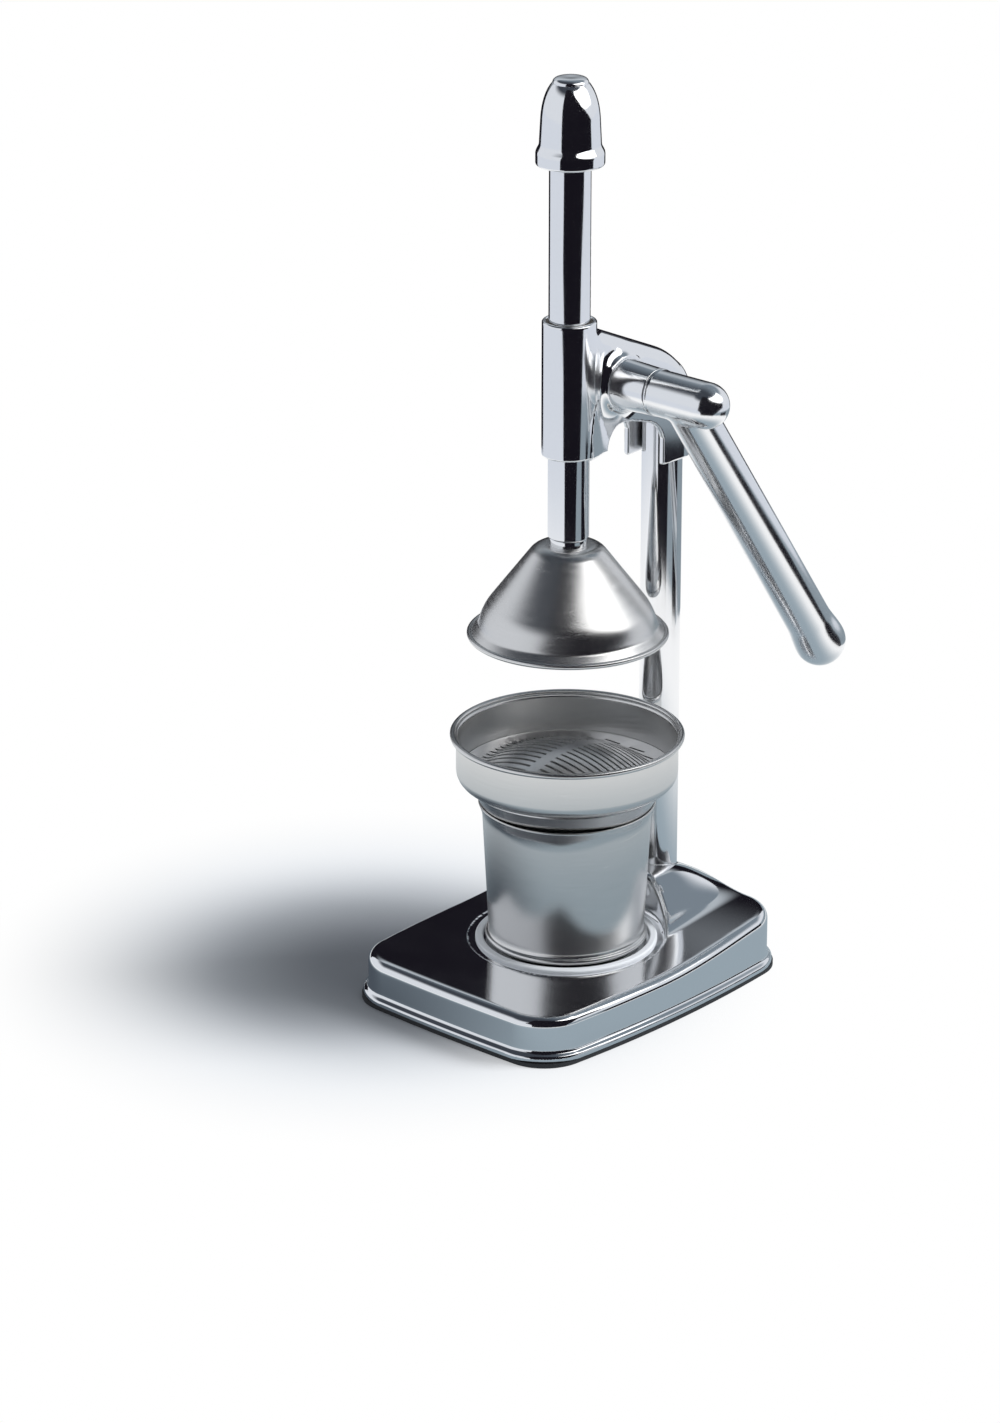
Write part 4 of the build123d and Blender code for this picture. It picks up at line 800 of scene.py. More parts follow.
points, normals, lever_quads = surface_of(lever_form, (32.0, -12.4, -14.0), (74.0, 189.4, 14.0),
                                          LEVER_STEP)
turned = np.stack([np.array([1.0, 0, 0]), ALONG, OUTWARDS])
lever_points = points @ turned + np.array([0, HUB_Y, HUB_Z])
lever_normals = normals @ turned
print("lever reaches", lever_points.min(0).round(2), "to", lever_points.max(0).round(2))
lever_piece = solid_piece("lever_cast", lever_points, lever_quads, lever_chrome, lever_normals)
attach(lever_piece, "lever_group")
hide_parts("lever")

# %% [markdown]
# ## The base
# The base is a pressed shell: a deck that rises a little to the back, a bell-shaped shoulder that
# carries the post, and a round well for the cup, so that the shoulder ends in a curved cliff
# behind it. All edges are drawn over a wide radius. A subdivided cage would only come near
# these curves. Here the top is a height that depends on the place, and the distance function
# keeps what lies under it and inside the bowed outline. The edge of the well is rounder where
# the cliff is higher, and fades out in front. Under the sheet, a block round the post's foot
# and four pillars for the screws stay solid.

# %% Base sizes, in millimetres
BASE_HALF, BASE_FRONT, BASE_BACK = 66.4, -83.7, 88.0
SIDE_BOW, END_BOW, BASE_CORNER = 675.0, 1100.0, 20.0
DECK, DECK_REAR, DECK_RISE_FROM = 23.0, 29.0, -8.0
CREST, CREST_DROP, CREST_BEND_FROM = 42.6, 12.4, 57.0
CLIMB_FROM, CLIMB_LENGTH = 2.0, 34.0
RIDGE_HALF, RIDGE_FALL = 9.0, 31.0
WELL_R, WELL_FLOOR = 46.7, 22.7
WELL_EDGE_SHARE, WELL_EDGE_LEAST, WELL_EDGE_MOST, WELL_CORNER_MOST = 0.4, 0.1, 3.2, 2.5
SHELL_WALL, SHELL_BOTTOM, SHELL_ROUND = 2.0, 2.0, 5.0
FLANGE_OUT, FLANGE_MIDDLE, FLANGE_HALF, FLANGE_FILLET = 2.6, 3.6, 1.6, 3.0
POST_BLOCK_R, PILLAR_R, PILLAR_FOOT = 12.5, 5.0, 5.0
SCREW_HOLE_R, SCREW_HOLE_TOP = 2.1, 14.0
SCREW_PLACES = [(47.0, -62.0), (-47.0, -62.0), (47.0, 70.0), (-47.0, 70.0)]
BASE_STEP = 1.0
print(f"base of {2 * BASE_HALF:.1f} by {BASE_BACK - BASE_FRONT:.1f} mm without its flange")


# %% Base form
def eased(value):
    """Rise from 0 to 1 with level ends."""
    return 0.5 - 0.5 * np.cos(math.pi * np.clip(value, 0, 1))


def top_height(x, y):
    """Height of the pressed top: the deck and the shoulder's ridge."""
    deck = DECK + (DECK_REAR - DECK) * eased((y - DECK_RISE_FROM) / (BASE_BACK - DECK_RISE_FROM))
    bend = np.maximum(y - CREST_BEND_FROM, 0) / (BASE_BACK - CREST_BEND_FROM)
    crest = CREST - CREST_DROP * bend ** 2
    climb = (crest - deck) * eased((y - CLIMB_FROM) / CLIMB_LENGTH)
    return deck + climb * (1 - eased((np.abs(x) - RIDGE_HALF) / RIDGE_FALL))


def base_side(x, y):
    """Distance from the bowed outline, seen from above."""
    middle = (BASE_FRONT + BASE_BACK) / 2
    half = (BASE_BACK - BASE_FRONT) / 2
    flank = np.hypot(np.abs(x) - BASE_HALF + SIDE_BOW, y - middle) - SIDE_BOW
    end = np.hypot(x, np.abs(y - middle) - half + END_BOW) - END_BOW
    return rounded_cut(flank, end, BASE_CORNER)


def base_form(x, y, z):
    """Distance from the pressed base."""
    height = top_height(x, y)
    lean = np.sqrt(1 + ((top_height(x + 0.1, y) - top_height(x - 0.1, y)) / 0.2) ** 2
                   + ((top_height(x, y + 0.1) - top_height(x, y - 0.1)) / 0.2) ** 2)
    side = base_side(x, y)
    shell = rounded_cut(side, (z - height) / lean, SHELL_ROUND)
    edge = np.clip(WELL_EDGE_SHARE * (height - WELL_FLOOR), WELL_EDGE_LEAST, WELL_EDGE_MOST)
    well = rounded_cut(np.hypot(x, y) - WELL_R, WELL_FLOOR - z,
                       np.minimum(edge, WELL_CORNER_MOST))
    solid = rounded_cut(shell, -well, edge)
    solid = np.maximum(solid, SHELL_BOTTOM - z)
    post = np.hypot(x, y - POST_Y)
    kept = post - POST_BLOCK_R
    for place_x, place_y in SCREW_PLACES:
        kept = np.minimum(kept, np.hypot(x - place_x, y - place_y) - PILLAR_R)
    kept = np.maximum(kept, PILLAR_FOOT - z)
    hollow = rounded_cut(shell + SHELL_WALL, -well + SHELL_WALL, 1.0)
    solid = np.maximum(solid, -np.maximum(hollow, -kept))
    flange = rounded_cut(side - FLANGE_OUT, np.abs(z - FLANGE_MIDDLE) - FLANGE_HALF, 1.4)
    flange = np.maximum(flange, -np.maximum(side + SHELL_WALL, -kept))
    solid = blended(solid, flange, FLANGE_FILLET)
    solid = np.maximum(solid, SHELL_BOTTOM - z)
    solid = rounded_cut(solid, SOCKET_R - post, 0.6)
    for place_x, place_y in SCREW_PLACES:
        hole = np.maximum(np.hypot(x - place_x, y - place_y) - SCREW_HOLE_R, z - SCREW_HOLE_TOP)
        solid = np.maximum(solid, -hole)
    return solid


base_points, base_normals, base_quads = surface_of(base_form, (-70.3, -87.6, 0.9),
                                                   (70.5, 92.2, 44.6), BASE_STEP)
print("base reaches", base_points.min(0).round(2), "to", base_points.max(0).round(2))
base_piece = solid_piece("base_shell_pressed", base_points, base_quads, polished_chrome,
                         base_normals)
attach(base_piece, "frame")
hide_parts("base_shell")

# %% [markdown]
# ## The juice cup
# The cup is spun from sheet: a flat foot with a rolled bead, a wall that widens upwards and a
# flared lip, with a wide spout pressed out of one side. A plain turned section would leave the
# spout out, so the cup is built ring by ring, and the radius of a ring depends on the direction.
# The spout is a second cone off the axis, which starts below the lip and leans out, and the
# two run into each other softly. It reaches nearly 4 mm less than the CAD model's spout,
# which would leave a wide black gap between the lip and the strainer.

# %% Cup sizes, in millimetres
CUP_STEPS = 264
CUP_SHEET = 0.9
CUP_FOOT_Z, CUP_FOOT_R, CUP_TOP_Z = 23.0, 36.3, 92.15
CUP_WIDENING, CUP_WALL_HEIGHT = 3.3, 64.5
LIP_FROM, LIP_BEND, LIP_FLARE = 87.5, 0.7, 0.34
BEAD_MIDDLE_Z, BEAD_MIDDLE_R, BEAD_R = 25.6, 36.7, 1.5
FLOOR_CORNER = 2.0
SPOUT_TURN = math.radians(-57)
SPOUT_SHIFT = 6.5
SPOUT_FOOT_Z, SPOUT_FOOT_R = 78.6, 29.0
SPOUT_WIDENING, SPOUT_DEPTH, SPOUT_FILLET = 7.0, 14, 2.4
print(f"cup of {CUP_TOP_Z - CUP_FOOT_Z:.1f} mm, {2 * CUP_FOOT_R:.1f} mm across the foot")


# %% Cup
def cup_radius(z, turn):
    """Outer radius of the cup at a height, in the directions given."""
    wall = CUP_FOOT_R + CUP_WIDENING * (z - CUP_FOOT_Z) / CUP_WALL_HEIGHT
    lip = np.log1p(math.exp((z - LIP_FROM) / LIP_BEND)) * LIP_BEND * LIP_FLARE
    off = turn - SPOUT_TURN
    cone = SPOUT_FOOT_R + SPOUT_WIDENING * (z - SPOUT_FOOT_Z) / SPOUT_DEPTH
    spout = SPOUT_SHIFT * np.cos(off) + np.sqrt(np.maximum(
        cone * cone - (SPOUT_SHIFT * np.sin(off)) ** 2, 0))
    spout = np.where(np.cos(off) > 0, spout, 0)
    return -blended(-(wall + lip), -spout, SPOUT_FILLET)


def cup_rings():
    """Height and radii of every ring, from under the foot over the lip to the inside."""
    turn = np.linspace(0, 2 * math.pi, CUP_STEPS, endpoint=False)
    even = np.ones(CUP_STEPS)
    rings = [(CUP_FOOT_Z, r * even) for r in (12.0, 24.0, 33.0, 34.6)]
    rings += [(23.2, 35.4 * even), (23.7, 36.1 * even)]
    for angle in np.radians(np.linspace(-70, 75, 12)):
        rings.append((BEAD_MIDDLE_Z + BEAD_R * math.sin(angle),
                      (BEAD_MIDDLE_R + BEAD_R * math.cos(angle)) * even))
    heights = np.concatenate([np.linspace(27.6, 70, 18), np.linspace(72, CUP_TOP_Z, 34)])
    rings += [(z, cup_radius(z, turn)) for z in heights]
    for angle in np.radians(np.linspace(15, 165, 9)):
        inset = CUP_SHEET / 2 * (1 - math.cos(angle))
        rings.append((CUP_TOP_Z + CUP_SHEET / 2 * math.sin(angle),
                      cup_radius(CUP_TOP_Z, turn) - inset))
    rings += [(z, cup_radius(z, turn) - CUP_SHEET) for z in heights[::-1]]
    floor_z = CUP_FOOT_Z + CUP_SHEET
    edge = cup_radius(floor_z + FLOOR_CORNER, turn) - CUP_SHEET
    for angle in np.radians(np.linspace(10, 90, 7)):
        rings.append((floor_z + FLOOR_CORNER * (1 - math.sin(angle)),
                      edge - FLOOR_CORNER * (1 - math.cos(angle))))
    rings += [(floor_z, r * even) for r in (28.0, 14.0)]
    return turn, rings


def closed_rings(turn, rings, low_pole, high_pole):
    """Points and faces of rings that are closed by a point on the axis at both ends."""
    count = len(turn)
    points = [(0, 0, low_pole)]
    for z, radii in rings:
        points += list(zip(radii * np.cos(turn), radii * np.sin(turn), [z] * count))
    points.append((0, 0, high_pole))
    faces = []
    for i in range(count):
        j = (i + 1) % count
        faces.append((0, 1 + j, 1 + i))
        for ring in range(len(rings) - 1):
            a = 1 + ring * count
            faces.append((a + i, a + j, a + count + j, a + count + i))
        last = 1 + (len(rings) - 1) * count
        faces.append((last + i, last + j, len(points) - 1))
    return points, faces


turn, rings = cup_rings()
cup_points, cup_faces = closed_rings(turn, rings, CUP_FOOT_Z, CUP_FOOT_Z + CUP_SHEET)
cup_piece = solid_piece("juice_cup_spun", cup_points, cup_faces, brushed_sheet)
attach(cup_piece, "cup")
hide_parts("juice_cup")

# %% [markdown]
# ## Pieces that follow a rule
# Screws, teeth and slits repeat, and turned sheet is one section swept round an axis. Copies
# could be placed by a loop, but a node tree says such a rule once and its sizes can be changed
# later. Every tree here has named inputs for its sizes, and ends by making its instances real
# and setting the material, so the result is one plain closed mesh.

# %% Node tree helpers
def new_tree(name, sizes):
    """A geometry tree with a geometry input and a named input for each size."""
    tree = bpy.data.node_groups.new(name, "GeometryNodeTree")
    tree.interface.new_socket("Geometry", in_out="OUTPUT", socket_type="NodeSocketGeometry")
    tree.interface.new_socket("Geometry", in_out="INPUT", socket_type="NodeSocketGeometry")
    kinds = {int: "NodeSocketInt", float: "NodeSocketFloat"}
    for title, value in sizes.items():
        kind = kinds.get(type(value), "NodeSocketMaterial")
        tree.interface.new_socket(title, in_out="INPUT", socket_type=kind).default_value = value
    return tree, tree.nodes.new("NodeGroupInput").outputs


def rule(tree, operation, *values):
    """One step of arithmetic in a tree."""
    return add_node(tree, "ShaderNodeMath", dict(enumerate(values)), operation=operation).outputs[0]


def end_tree(tree, geometry, finish, crease=32.0):
    """Smooth all but the real edges, make instances real and set the material."""
    real = add_node(tree, "GeometryNodeRealizeInstances", {"Geometry": geometry})
    angle = tree.nodes.new("GeometryNodeInputMeshEdgeAngle").outputs["Unsigned Angle"]
    soft = add_node(tree, "FunctionNodeCompare", {"A": angle, "B": math.radians(crease)},
                    data_type="FLOAT", operation="LESS_THAN")
    faces = add_node(tree, "GeometryNodeSetShadeSmooth", {"Geometry": real.outputs[0],
                                                          "Shade Smooth": True}, domain="FACE")
    edges = add_node(tree, "GeometryNodeSetShadeSmooth",
                     {"Geometry": faces.outputs[0], "Shade Smooth": soft.outputs["Result"]},
                     domain="EDGE")
    dressed = add_node(tree, "GeometryNodeSetMaterial", {"Geometry": edges.outputs[0],
                                                         "Material": finish})
    tree.links.new(dressed.outputs[0], tree.nodes.new("NodeGroupOutput").inputs[0])
    print(f"{tree.name} tree: {len(tree.nodes)} nodes")


# %% Seeds and results
def seed_mesh(name, points, edges=()):
    """Loose points, in millimetres, with edges between them, for a tree to start from."""
    mesh = bpy.data.meshes.new(name)
    mesh.from_pydata([tuple(0.001 * c for c in point) for point in points], list(edges), [])
    return mesh


def loop_mesh(name, points):
    """A closed line through points in millimetres."""
    count = len(points)
    return seed_mesh(name, points, [(i, (i + 1) % count) for i in range(count)])


def grown(name, seed, tree, sizes):
    """Run a tree on a seed mesh with these sizes and keep the result as a plain mesh object."""
    holder = bpy.data.objects.new(name + "_seed", seed)
    bpy.context.scene.collection.objects.link(holder)
    modifier = holder.modifiers.new("grow", "NODES")
    modifier.node_group = tree
    for item in tree.interface.items_tree:
        if item.item_type == "SOCKET" and item.in_out == "INPUT" and item.name in sizes:
            modifier[item.identifier] = sizes[item.name]
    ready = holder.evaluated_get(bpy.context.evaluated_depsgraph_get())
    mesh = bpy.data.meshes.new_from_object(ready)
    holder.modifiers.remove(modifier)
    bpy.data.objects.remove(holder)
    mesh.name = name
    for place in reversed(range(len(mesh.materials))):
        if mesh.materials[place] is None:
            mesh.materials.pop(index=place)
    bm = bmesh.new()
    bm.from_mesh(mesh)
    bmesh.ops.remove_doubles(bm, verts=bm.verts, dist=1e-7)
    bmesh.ops.recalc_face_normals(bm, faces=bm.faces)
    open_edges = sum(not edge.is_manifold for edge in bm.edges)
    volume = bm.calc_volume(signed=True)
    if volume < 0:
        bmesh.ops.reverse_faces(bm, faces=bm.faces)
    bm.to_mesh(mesh)
    bm.free()
    made = bpy.data.objects.new(name, mesh)
    bpy.context.scene.collection.objects.link(made)
    print(f"{name}: {len(mesh.polygons)} faces, {open_edges} open edges, "
          f"{abs(volume) * 1e6:.2f} ml")
    return made


# %% [markdown]
# ## Spun sheet
# The strainer bowl and the press cone are spun on a lathe: a disc of sheet is pressed over a
# turning form and its edge is rolled over a wire into a round bead. So each is a section, drawn
# as the outer line of the sheet with a round at every bend, and turned once round the axis. A
# Screw modifier would turn it too, but the tree does it for both with the number of steps as
# a named size. A section hangs from a small circle, so its heights are given downwards.

# %% Section of a spun sheet
def rounded_line(corners, rounds, steps=7):
    """The corners joined by straight lines, with a round of the given radius at each bend."""
    points = [np.array(corners[0], float)]
    for before, corner, after, radius in zip(corners, corners[1:], corners[2:], rounds):
        corner = np.array(corner, float)
        a = (np.array(before) - corner) / np.linalg.norm(np.array(before) - corner)
        b = (np.array(after) - corner) / np.linalg.norm(np.array(after) - corner)
        half = math.acos(float(np.clip(a @ b, -1, 1))) / 2
        centre = corner + (a + b) / np.linalg.norm(a + b) * radius / math.sin(half)
        start, end = corner + a * radius / math.tan(half), corner + b * radius / math.tan(half)
        first = math.atan2(*(start - centre)[::-1])
        sweep = (math.atan2(*(end - centre)[::-1]) - first + math.pi) % (2 * math.pi) - math.pi
        points += [centre + radius * np.array([math.cos(first + sweep * s),
                                               math.sin(first + sweep * s)])
                   for s in np.linspace(0, 1, steps)]
    return np.array(points + [np.array(corners[-1], float)])


def clear_of_bead(points, centre, bead):
    """The points that lie outside a bead."""
    return points[np.hypot(*(points - centre).T) > bead + 0.05]


def sheet_loop(line, sheet, bead_centre, bead, bead_first):
    """Closed section of a sheet whose outer side is the line; one end is rolled into a bead."""
    run = np.gradient(line, axis=0)
    run /= np.linalg.norm(run, axis=1)[:, None]
    inner = line + sheet * np.stack([run[:, 1], -run[:, 0]], 1)
    outer = clear_of_bead(line, bead_centre, bead)
    inner = clear_of_bead(inner, bead_centre, bead)
    if bead_first:
        outer, inner = inner[::-1], outer[::-1]
    start, end = outer[-1] - bead_centre, inner[-1] - bead_centre
    first, last = math.atan2(start[1], start[0]), math.atan2(end[1], end[0])
    turns = (last - first) % (2 * math.pi)
    if turns < math.pi:
        turns -= 2 * math.pi
    curl = [bead_centre + bead * np.array([math.cos(turn), math.sin(turn)])
            for turn in first + turns * np.linspace(0, 1, 22)]
    loop = np.array([*outer, *curl, *inner[::-1]])
    return [(radius, -height, 0) for radius, height in loop]


# %% Turned sheet tree
def turned_form(tree, section, steps, reach=0.02):
    """Sweep a section round the Z axis and close it where it meets the axis."""
    line = add_node(tree, "GeometryNodeMeshToCurve", {"Mesh": section})
    hung = add_node(tree, "GeometryNodeTransform", {"Geometry": line.outputs[0],
                                                    "Translation": (-reach, 0, 0)})
    around = add_node(tree, "GeometryNodeCurvePrimitiveCircle", {"Resolution": steps,
                                                                 "Radius": reach})
    swept = add_node(tree, "GeometryNodeCurveToMesh", {"Curve": around.outputs[0],
                                                       "Profile Curve": hung.outputs[0]})
    joined = add_node(tree, "GeometryNodeMergeByDistance", {"Geometry": swept.outputs[0],
                                                            "Distance": 0.000001})
    return joined.outputs[0]


SPIN_SIZES = {"Steps": 240, "Finish": brushed_sheet}
turned_sheet, size = new_tree("turned_sheet", SPIN_SIZES)
end_tree(turned_sheet, turned_form(turned_sheet, size["Geometry"], size["Steps"]),
         size["Finish"], 50.0)

# %% [markdown]
# ## The strainer bowl
# The bowl has an upright band with a rolled rim, a round shoulder below it, and a skirt that
# leans in and sits in the cup's lip. Joined cylinders would leave seams between them. The
# turned section gives all of them as one sheet of even thickness, as spinning does.

# %% Strainer bowl
BOWL_RIM = (53.2, 125.5)
BOWL_CORNERS = [BOWL_RIM, (51.7, 124.1), (51.7, 102.1), (45.3, 102.1), (37.0, 86.0)]
BOWL_ROUNDS = [1.5, 6.39, 1.0]
BOWL_SHEET, BOWL_BEAD = 0.9, 1.4
bowl_line = rounded_line(BOWL_CORNERS, BOWL_ROUNDS)
bowl_loop = sheet_loop(bowl_line, BOWL_SHEET, np.array(BOWL_RIM), BOWL_BEAD, True)
bowl_piece = grown("strainer_bowl_spun", loop_mesh("bowl_section", bowl_loop), turned_sheet,
                   SPIN_SIZES)
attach(bowl_piece, "cup")
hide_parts("strainer_bowl")

# %% [markdown]
# ## The press cone
# The cone presses the fruit down. It hangs under the rod from a flat top with a hole for the
# screw, widens over a soft shoulder, and ends in a small outward flare with a rolled rim. It
# comes from the same tree as the bowl, with its bead at the other end of the line.

# %% Press cone
CONE_HOLE, CONE_TOP = 3.1, 219.0
CONE_CORNERS = [(CONE_HOLE, CONE_TOP), (15.1, CONE_TOP), (39.6, 187.0), (41.6, 179.8),
                (45.3, 176.2)]
CONE_ROUNDS = [9.0, 29.0, 5.0]
CONE_SHEET, CONE_BEAD, CONE_RIM = 1.0, 1.3, (45.3, 175.7)
cone_line = rounded_line(CONE_CORNERS, CONE_ROUNDS)
cone_loop = sheet_loop(cone_line, CONE_SHEET, np.array(CONE_RIM), CONE_BEAD, False)
cone_piece = grown("press_cone_spun", loop_mesh("cone_section", cone_loop), turned_sheet,
                   SPIN_SIZES)
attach(cone_piece, "plunger")
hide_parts("press_cone")

# %% [markdown]
# ## The sieve
# The sieve is a shallow dome, pressed and slit in one stroke. The slits lie in rows, and in each
# row they reach as far as a circle allows, left and right of a solid strip. A picture with
# holes in it could fake them, but here they are cut, because light falls through them and their
# edges shine. In the tree, every row is a point; a block stands on it, as long as the rule for
# that row says, and the blocks are cut out of the turned dome.

# %% Sieve tree
SIEVE_SIZES = {"Steps": 180, "Rows": 23, "Row pitch": 0.0037, "Slit width": 0.0013,
               "Field radius": 0.0425, "Half strip": 0.003, "Floor": 0.1065,
               "Finish": polished_sheet}
sieve_tree, size = new_tree("sieve_disc", SIEVE_SIZES)
dome = turned_form(sieve_tree, size["Geometry"], size["Steps"])
first = rule(sieve_tree, "MULTIPLY", rule(sieve_tree, "SUBTRACT", size["Rows"], 1.0),
             rule(sieve_tree, "MULTIPLY", size["Row pitch"], -0.5))
rows = add_node(sieve_tree, "GeometryNodeMeshLine",
                {"Count": size["Rows"],
                 "Start Location": add_node(sieve_tree, "ShaderNodeCombineXYZ",
                                            {"Y": first, "Z": size["Floor"]}).outputs[0],
                 "Offset": add_node(sieve_tree, "ShaderNodeCombineXYZ",
                                    {"Y": size["Row pitch"]}).outputs[0]})
place = sieve_tree.nodes.new("GeometryNodeInputPosition").outputs[0]
row_y = add_node(sieve_tree, "ShaderNodeSeparateXYZ", {0: place}).outputs["Y"]
reach = rule(sieve_tree, "SQRT", rule(sieve_tree, "SUBTRACT",
                                      rule(sieve_tree, "POWER", size["Field radius"], 2.0),
                                      rule(sieve_tree, "POWER", row_y, 2.0)))
block = add_node(sieve_tree, "GeometryNodeMeshCube", {"Size": (1, 1, 1)})
block_size = add_node(sieve_tree, "ShaderNodeCombineXYZ",
                      {"X": rule(sieve_tree, "SUBTRACT", reach, size["Half strip"]),
                       "Y": size["Slit width"], "Z": 0.03})
middle = rule(sieve_tree, "MULTIPLY", rule(sieve_tree, "ADD", reach, size["Half strip"]), 0.5)
cutters = sieve_tree.nodes.new("GeometryNodeJoinGeometry")
for side in (1.0, -1.0):
    beside = add_node(sieve_tree, "ShaderNodeCombineXYZ",
                      {"X": rule(sieve_tree, "MULTIPLY", middle, side)})
    blocks = add_node(sieve_tree, "GeometryNodeInstanceOnPoints",
                      {"Points": rows.outputs[0], "Instance": block.outputs[0],
                       "Scale": block_size.outputs[0]})
    blocks = add_node(sieve_tree, "GeometryNodeTranslateInstances",
                      {"Instances": blocks.outputs[0], "Translation": beside.outputs[0],
                       "Local Space": False})
    sieve_tree.links.new(blocks.outputs[0], cutters.inputs[0])
slit = add_node(sieve_tree, "GeometryNodeMeshBoolean",
                {"Mesh 1": dome, "Mesh 2": add_node(sieve_tree, "GeometryNodeRealizeInstances",
                                                    {0: cutters.outputs[0]}).outputs[0]},
                operation="DIFFERENCE", solver="MANIFOLD")
end_tree(sieve_tree, slit.outputs[0], size["Finish"])

# %% Sieve
SIEVE_FLOOR, DOME_RADIUS, DOME_CENTRE, SIEVE_SHEET = 106.49, 74.636, 42.854, 0.9
DOME_EDGE, SIEVE_R = 39.0, 50.4
swing = np.linspace(0, math.asin(DOME_EDGE / DOME_RADIUS), 26)
under = [(DOME_RADIUS * math.sin(a), DOME_CENTRE + DOME_RADIUS * math.cos(a)) for a in swing]
over = [((DOME_RADIUS + SIEVE_SHEET) * math.sin(a),
         DOME_CENTRE + (DOME_RADIUS + SIEVE_SHEET) * math.cos(a)) for a in swing]
over = [(r, z) for r, z in over if z > SIEVE_FLOOR + SIEVE_SHEET + 0.1]
edge = [(50.2, SIEVE_FLOOR), (SIEVE_R, SIEVE_FLOOR + 0.2), (SIEVE_R, SIEVE_FLOOR + 0.7),
        (50.2, SIEVE_FLOOR + SIEVE_SHEET), (40.2, SIEVE_FLOOR + SIEVE_SHEET)]
line = [(r, -z, 0) for r, z in under + edge + over[::-1]]
sieve_piece = grown("sieve_disc_slit", seed_mesh("sieve_section", line,
                                                 [(i, i + 1) for i in range(len(line) - 1)]),
                    sieve_tree, SIEVE_SIZES)
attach(sieve_piece, "cup")
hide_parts("sieve_disc")

# %% [markdown]
# ## Screws
# A screw is a round bar with a cone for a head, a six-sided socket in it, and a thread that is
# one ridge wound round the bar. A bump could fake the thread, but its outline would stay smooth.
# The tree winds a four-sided ridge along a spiral, melts it into the bar and the head, drills
# the socket, and sets one screw on every point of the seed.

# %% Screw tree
SCREW_SIZES = {"Radius": 0.002, "Length": 0.012, "Head radius": 0.004, "Head height": 0.002,
               "Thread depth": 0.0003, "Turns": 12.0, "Thread from": 0.0028, "Socket radius": 0.0016,
               "Socket depth": 0.0018, "Turn about X": 0.0, "Finish": zinc_steel}
screws, size = new_tree("screws", SCREW_SIZES)
core = rule(screws, "SUBTRACT", size["Radius"], size["Thread depth"])
bar = add_node(screws, "GeometryNodeMeshCone", {"Vertices": 48, "Radius Top": core,
                                                "Radius Bottom": core, "Depth": size["Length"]})
head = add_node(screws, "GeometryNodeMeshCone",
                {"Vertices": 48, "Radius Top": size["Radius"],
                 "Radius Bottom": size["Head radius"], "Depth": size["Head height"]})
wound = rule(screws, "SUBTRACT", rule(screws, "SUBTRACT", size["Length"], size["Thread from"]),
             0.0006)
spiral = add_node(screws, "GeometryNodeCurveSpiral",
                  {"Resolution": 28, "Rotations": size["Turns"], "Start Radius": core,
                   "End Radius": core, "Height": wound})
raised = add_node(screws, "GeometryNodeTransform",
                  {"Geometry": spiral.outputs[0],
                   "Translation": add_node(screws, "ShaderNodeCombineXYZ",
                                           {"Z": size["Thread from"]}).outputs[0]})
ridge_line = add_node(screws, "GeometryNodeCurvePrimitiveCircle",
                      {"Resolution": 4, "Radius": size["Thread depth"]})
ridge = add_node(screws, "GeometryNodeCurveToMesh",
                 {"Curve": raised.outputs[0], "Profile Curve": ridge_line.outputs[0],
                  "Fill Caps": True})
solid = add_node(screws, "GeometryNodeMeshBoolean", {}, operation="UNION", solver="MANIFOLD")
for form in (bar, head, ridge):
    screws.links.new(form.outputs[0], solid.inputs["Mesh 2"])
socket = add_node(screws, "GeometryNodeMeshCone",
                  {"Vertices": 6, "Radius Top": size["Socket radius"],
                   "Radius Bottom": size["Socket radius"],
                   "Depth": rule(screws, "ADD", size["Socket depth"], 0.001)})
sunk = add_node(screws, "GeometryNodeTransform", {"Geometry": socket.outputs[0],
                                                  "Translation": (0, 0, -0.001)})
drilled = add_node(screws, "GeometryNodeMeshBoolean", {"Mesh 1": solid.outputs[0],
                                                       "Mesh 2": sunk.outputs[0]},
                   operation="DIFFERENCE", solver="MANIFOLD")
turn_about = add_node(screws, "FunctionNodeEulerToRotation",
                      {0: add_node(screws, "ShaderNodeCombineXYZ",
                                   {"X": size["Turn about X"]}).outputs[0]})
points_of_seed = add_node(screws, "GeometryNodeMeshToPoints", {"Mesh": size["Geometry"]})
set_on = add_node(screws, "GeometryNodeInstanceOnPoints",
                  {"Points": points_of_seed.outputs[0], "Instance": drilled.outputs[0],
                   "Rotation": turn_about.outputs[0]})
end_tree(screws, set_on.outputs[0], size["Finish"])

# %% [markdown]
# ## The screws in their places
# Four screws hold the plate under the base. The same tree makes the two headless screws that grip
# the post, with the head narrowed to a chamfer and the whole screw turned on its side, so both
# kinds differ only in their sizes.

# %% Base plate screws
plate_seed = seed_mesh("plate_screw_places", [(x, y, SHELL_BOTTOM) for x, y in SCREW_PLACES])
plate_screws = grown("base_plate_screws_threaded", plate_seed, screws, SCREW_SIZES)
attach(plate_screws, "frame")
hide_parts("base_plate_screws")

# %% Post screws
POST_R, GRUB_LENGTH = 9.5, 2.8
grub_seed = seed_mesh("grub_screw_places",
                      [(0, POST_Y + POST_R + GRUB_LENGTH, z) for z in GRUB_HEIGHTS])
grub_screws = grown("head_grub_screws_threaded", grub_seed, screws,
                    {**SCREW_SIZES, "Radius": 0.0025, "Length": 0.0028, "Head radius": 0.0022,
                     "Head height": 0.0004, "Turns": 2.5, "Thread from": 0.0006,
                     "Socket radius": 0.001375, "Turn about X": math.pi / 2,
                     "Finish": black_steel})
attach(grub_screws, "frame")
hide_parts("head_grub_screws")

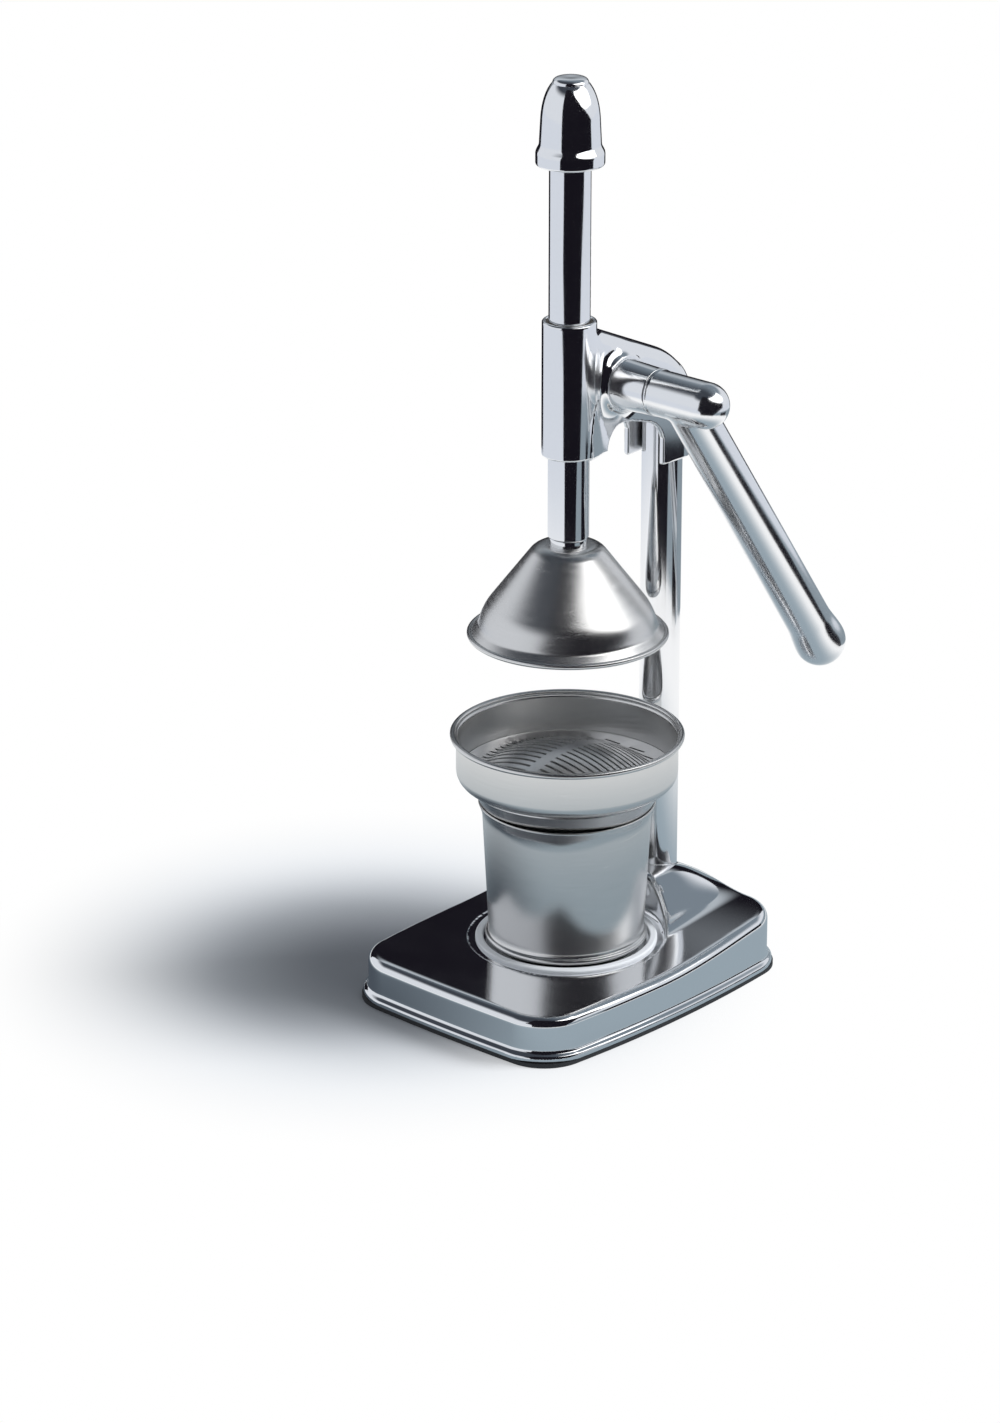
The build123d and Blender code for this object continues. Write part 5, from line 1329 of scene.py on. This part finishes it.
# %% [markdown]
# ## The pinion
# The pinion turns the lever's swing into the rod's stroke. It has 21 teeth of module 1.5, with
# involute flanks, the curve that keeps a rack moving evenly, and a keyway. One tooth is the
# rule, so the seed is its outline with half a gap on both sides. The tree sets it round the
# axis as often as there are teeth, joins the ends, fills the outline, pulls it out to the
# gear's width and cuts the bore and the keyway.

# %% Pinion tree
GEAR_SIZES = {"Teeth": 21, "Width": 0.009, "Bore radius": 0.00505, "Keyway": 0.0031,
              "Keyway out": 0.005, "Finish": bright_steel}
gear, size = new_tree("pinion", GEAR_SIZES)
stations = add_node(gear, "GeometryNodeMeshLine", {"Count": size["Teeth"], "Offset": (0, 0, 0)})
index = gear.nodes.new("GeometryNodeInputIndex").outputs[0]
angle = rule(gear, "ADD", rule(gear, "MULTIPLY", rule(gear, "DIVIDE", index, size["Teeth"]),
                               2 * math.pi), math.pi)
facing = add_node(gear, "FunctionNodeEulerToRotation",
                  {0: add_node(gear, "ShaderNodeCombineXYZ", {"Z": angle}).outputs[0]})
ring = add_node(gear, "GeometryNodeInstanceOnPoints",
                {"Points": stations.outputs[0], "Instance": size["Geometry"],
                 "Rotation": facing.outputs[0]})
ring = add_node(gear, "GeometryNodeRealizeInstances", {0: ring.outputs[0]})
ring = add_node(gear, "GeometryNodeMergeByDistance", {"Geometry": ring.outputs[0],
                                                      "Distance": 0.00001})
ring = add_node(gear, "GeometryNodeMeshToCurve", {"Mesh": ring.outputs[0]})
sheet = add_node(gear, "GeometryNodeFillCurve", {"Curve": ring.outputs[0]})
pulled = add_node(gear, "GeometryNodeExtrudeMesh",
                  {"Mesh": sheet.outputs[0], "Offset": (0, 0, 1),
                   "Offset Scale": size["Width"], "Individual": False}, mode="FACES")
back = add_node(gear, "GeometryNodeFlipFaces", {"Mesh": sheet.outputs[0]})
both = gear.nodes.new("GeometryNodeJoinGeometry")
gear.links.new(pulled.outputs[0], both.inputs[0])
gear.links.new(back.outputs[0], both.inputs[0])
blank = add_node(gear, "GeometryNodeMergeByDistance", {"Geometry": both.outputs[0],
                                                       "Distance": 0.000001})
bore = add_node(gear, "GeometryNodeMeshCylinder", {"Vertices": 96, "Radius": size["Bore radius"],
                                                   "Depth": 0.05})
key = add_node(gear, "GeometryNodeMeshCube",
               {"Size": add_node(gear, "ShaderNodeCombineXYZ",
                                 {"X": size["Keyway"], "Y": size["Keyway"],
                                  "Z": 0.05}).outputs[0]})
key = add_node(gear, "GeometryNodeTransform",
               {"Geometry": key.outputs[0],
                "Translation": add_node(gear, "ShaderNodeCombineXYZ",
                                        {"Y": size["Keyway out"]}).outputs[0]})
cut = add_node(gear, "GeometryNodeMeshBoolean", {"Mesh 1": blank.outputs[0]},
               operation="DIFFERENCE", solver="MANIFOLD")
gear.links.new(bore.outputs[0], cut.inputs["Mesh 2"])
gear.links.new(key.outputs[0], cut.inputs["Mesh 2"])
placed = add_node(gear, "GeometryNodeTransform",
                  {"Geometry": cut.outputs[0],
                   "Translation": (-GEAR_SIZES["Width"] / 2, HUB_Y / 1000, HUB_Z / 1000),
                   "Rotation": (math.pi / 2, 0, math.pi / 2)})
end_tree(gear, placed.outputs[0], size["Finish"])

# %% Pinion
MODULE, TEETH, PRESSURE, BACKLASH = 1.5, GEAR_SIZES["Teeth"], math.radians(20), 0.16
pitch_r = MODULE * TEETH / 2
base_r, root_r, tip_r = pitch_r * math.cos(PRESSURE), pitch_r - 1.25 * MODULE, pitch_r + MODULE
half_tooth = (math.pi * MODULE / 2 - BACKLASH) / (2 * pitch_r)


def flank_turn(radius):
    """Half the tooth's width at a radius, as an angle."""
    steep = math.acos(min(1, base_r / radius))
    return half_tooth + math.tan(PRESSURE) - PRESSURE - math.tan(steep) + steep


flank = [(root_r, flank_turn(base_r))] + [(r, flank_turn(r))
                                          for r in [base_r, *np.linspace(base_r + 0.25, tip_r, 6)]]
half_gap = math.pi / TEETH
tooth = [(root_r, -half_gap)] + [(r, -a) for r, a in flank] + flank[::-1] + [(root_r, half_gap)]
tooth = [(r * math.cos(a), r * math.sin(a), 0) for r, a in tooth]
pinion_piece = grown("pinion_cut", seed_mesh("tooth", tooth,
                                             [(i, i + 1) for i in range(len(tooth) - 1)]),
                     gear, GEAR_SIZES)
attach(pinion_piece, "lever_group")
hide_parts("pinion")

# %% [markdown]
# ## Finish
# The view transform is Standard, because the others would dull the white of the table. The
# dressed press has to be as large as the CAD model.

# %% Finish
bpy.context.scene.view_settings.view_transform = "Standard"
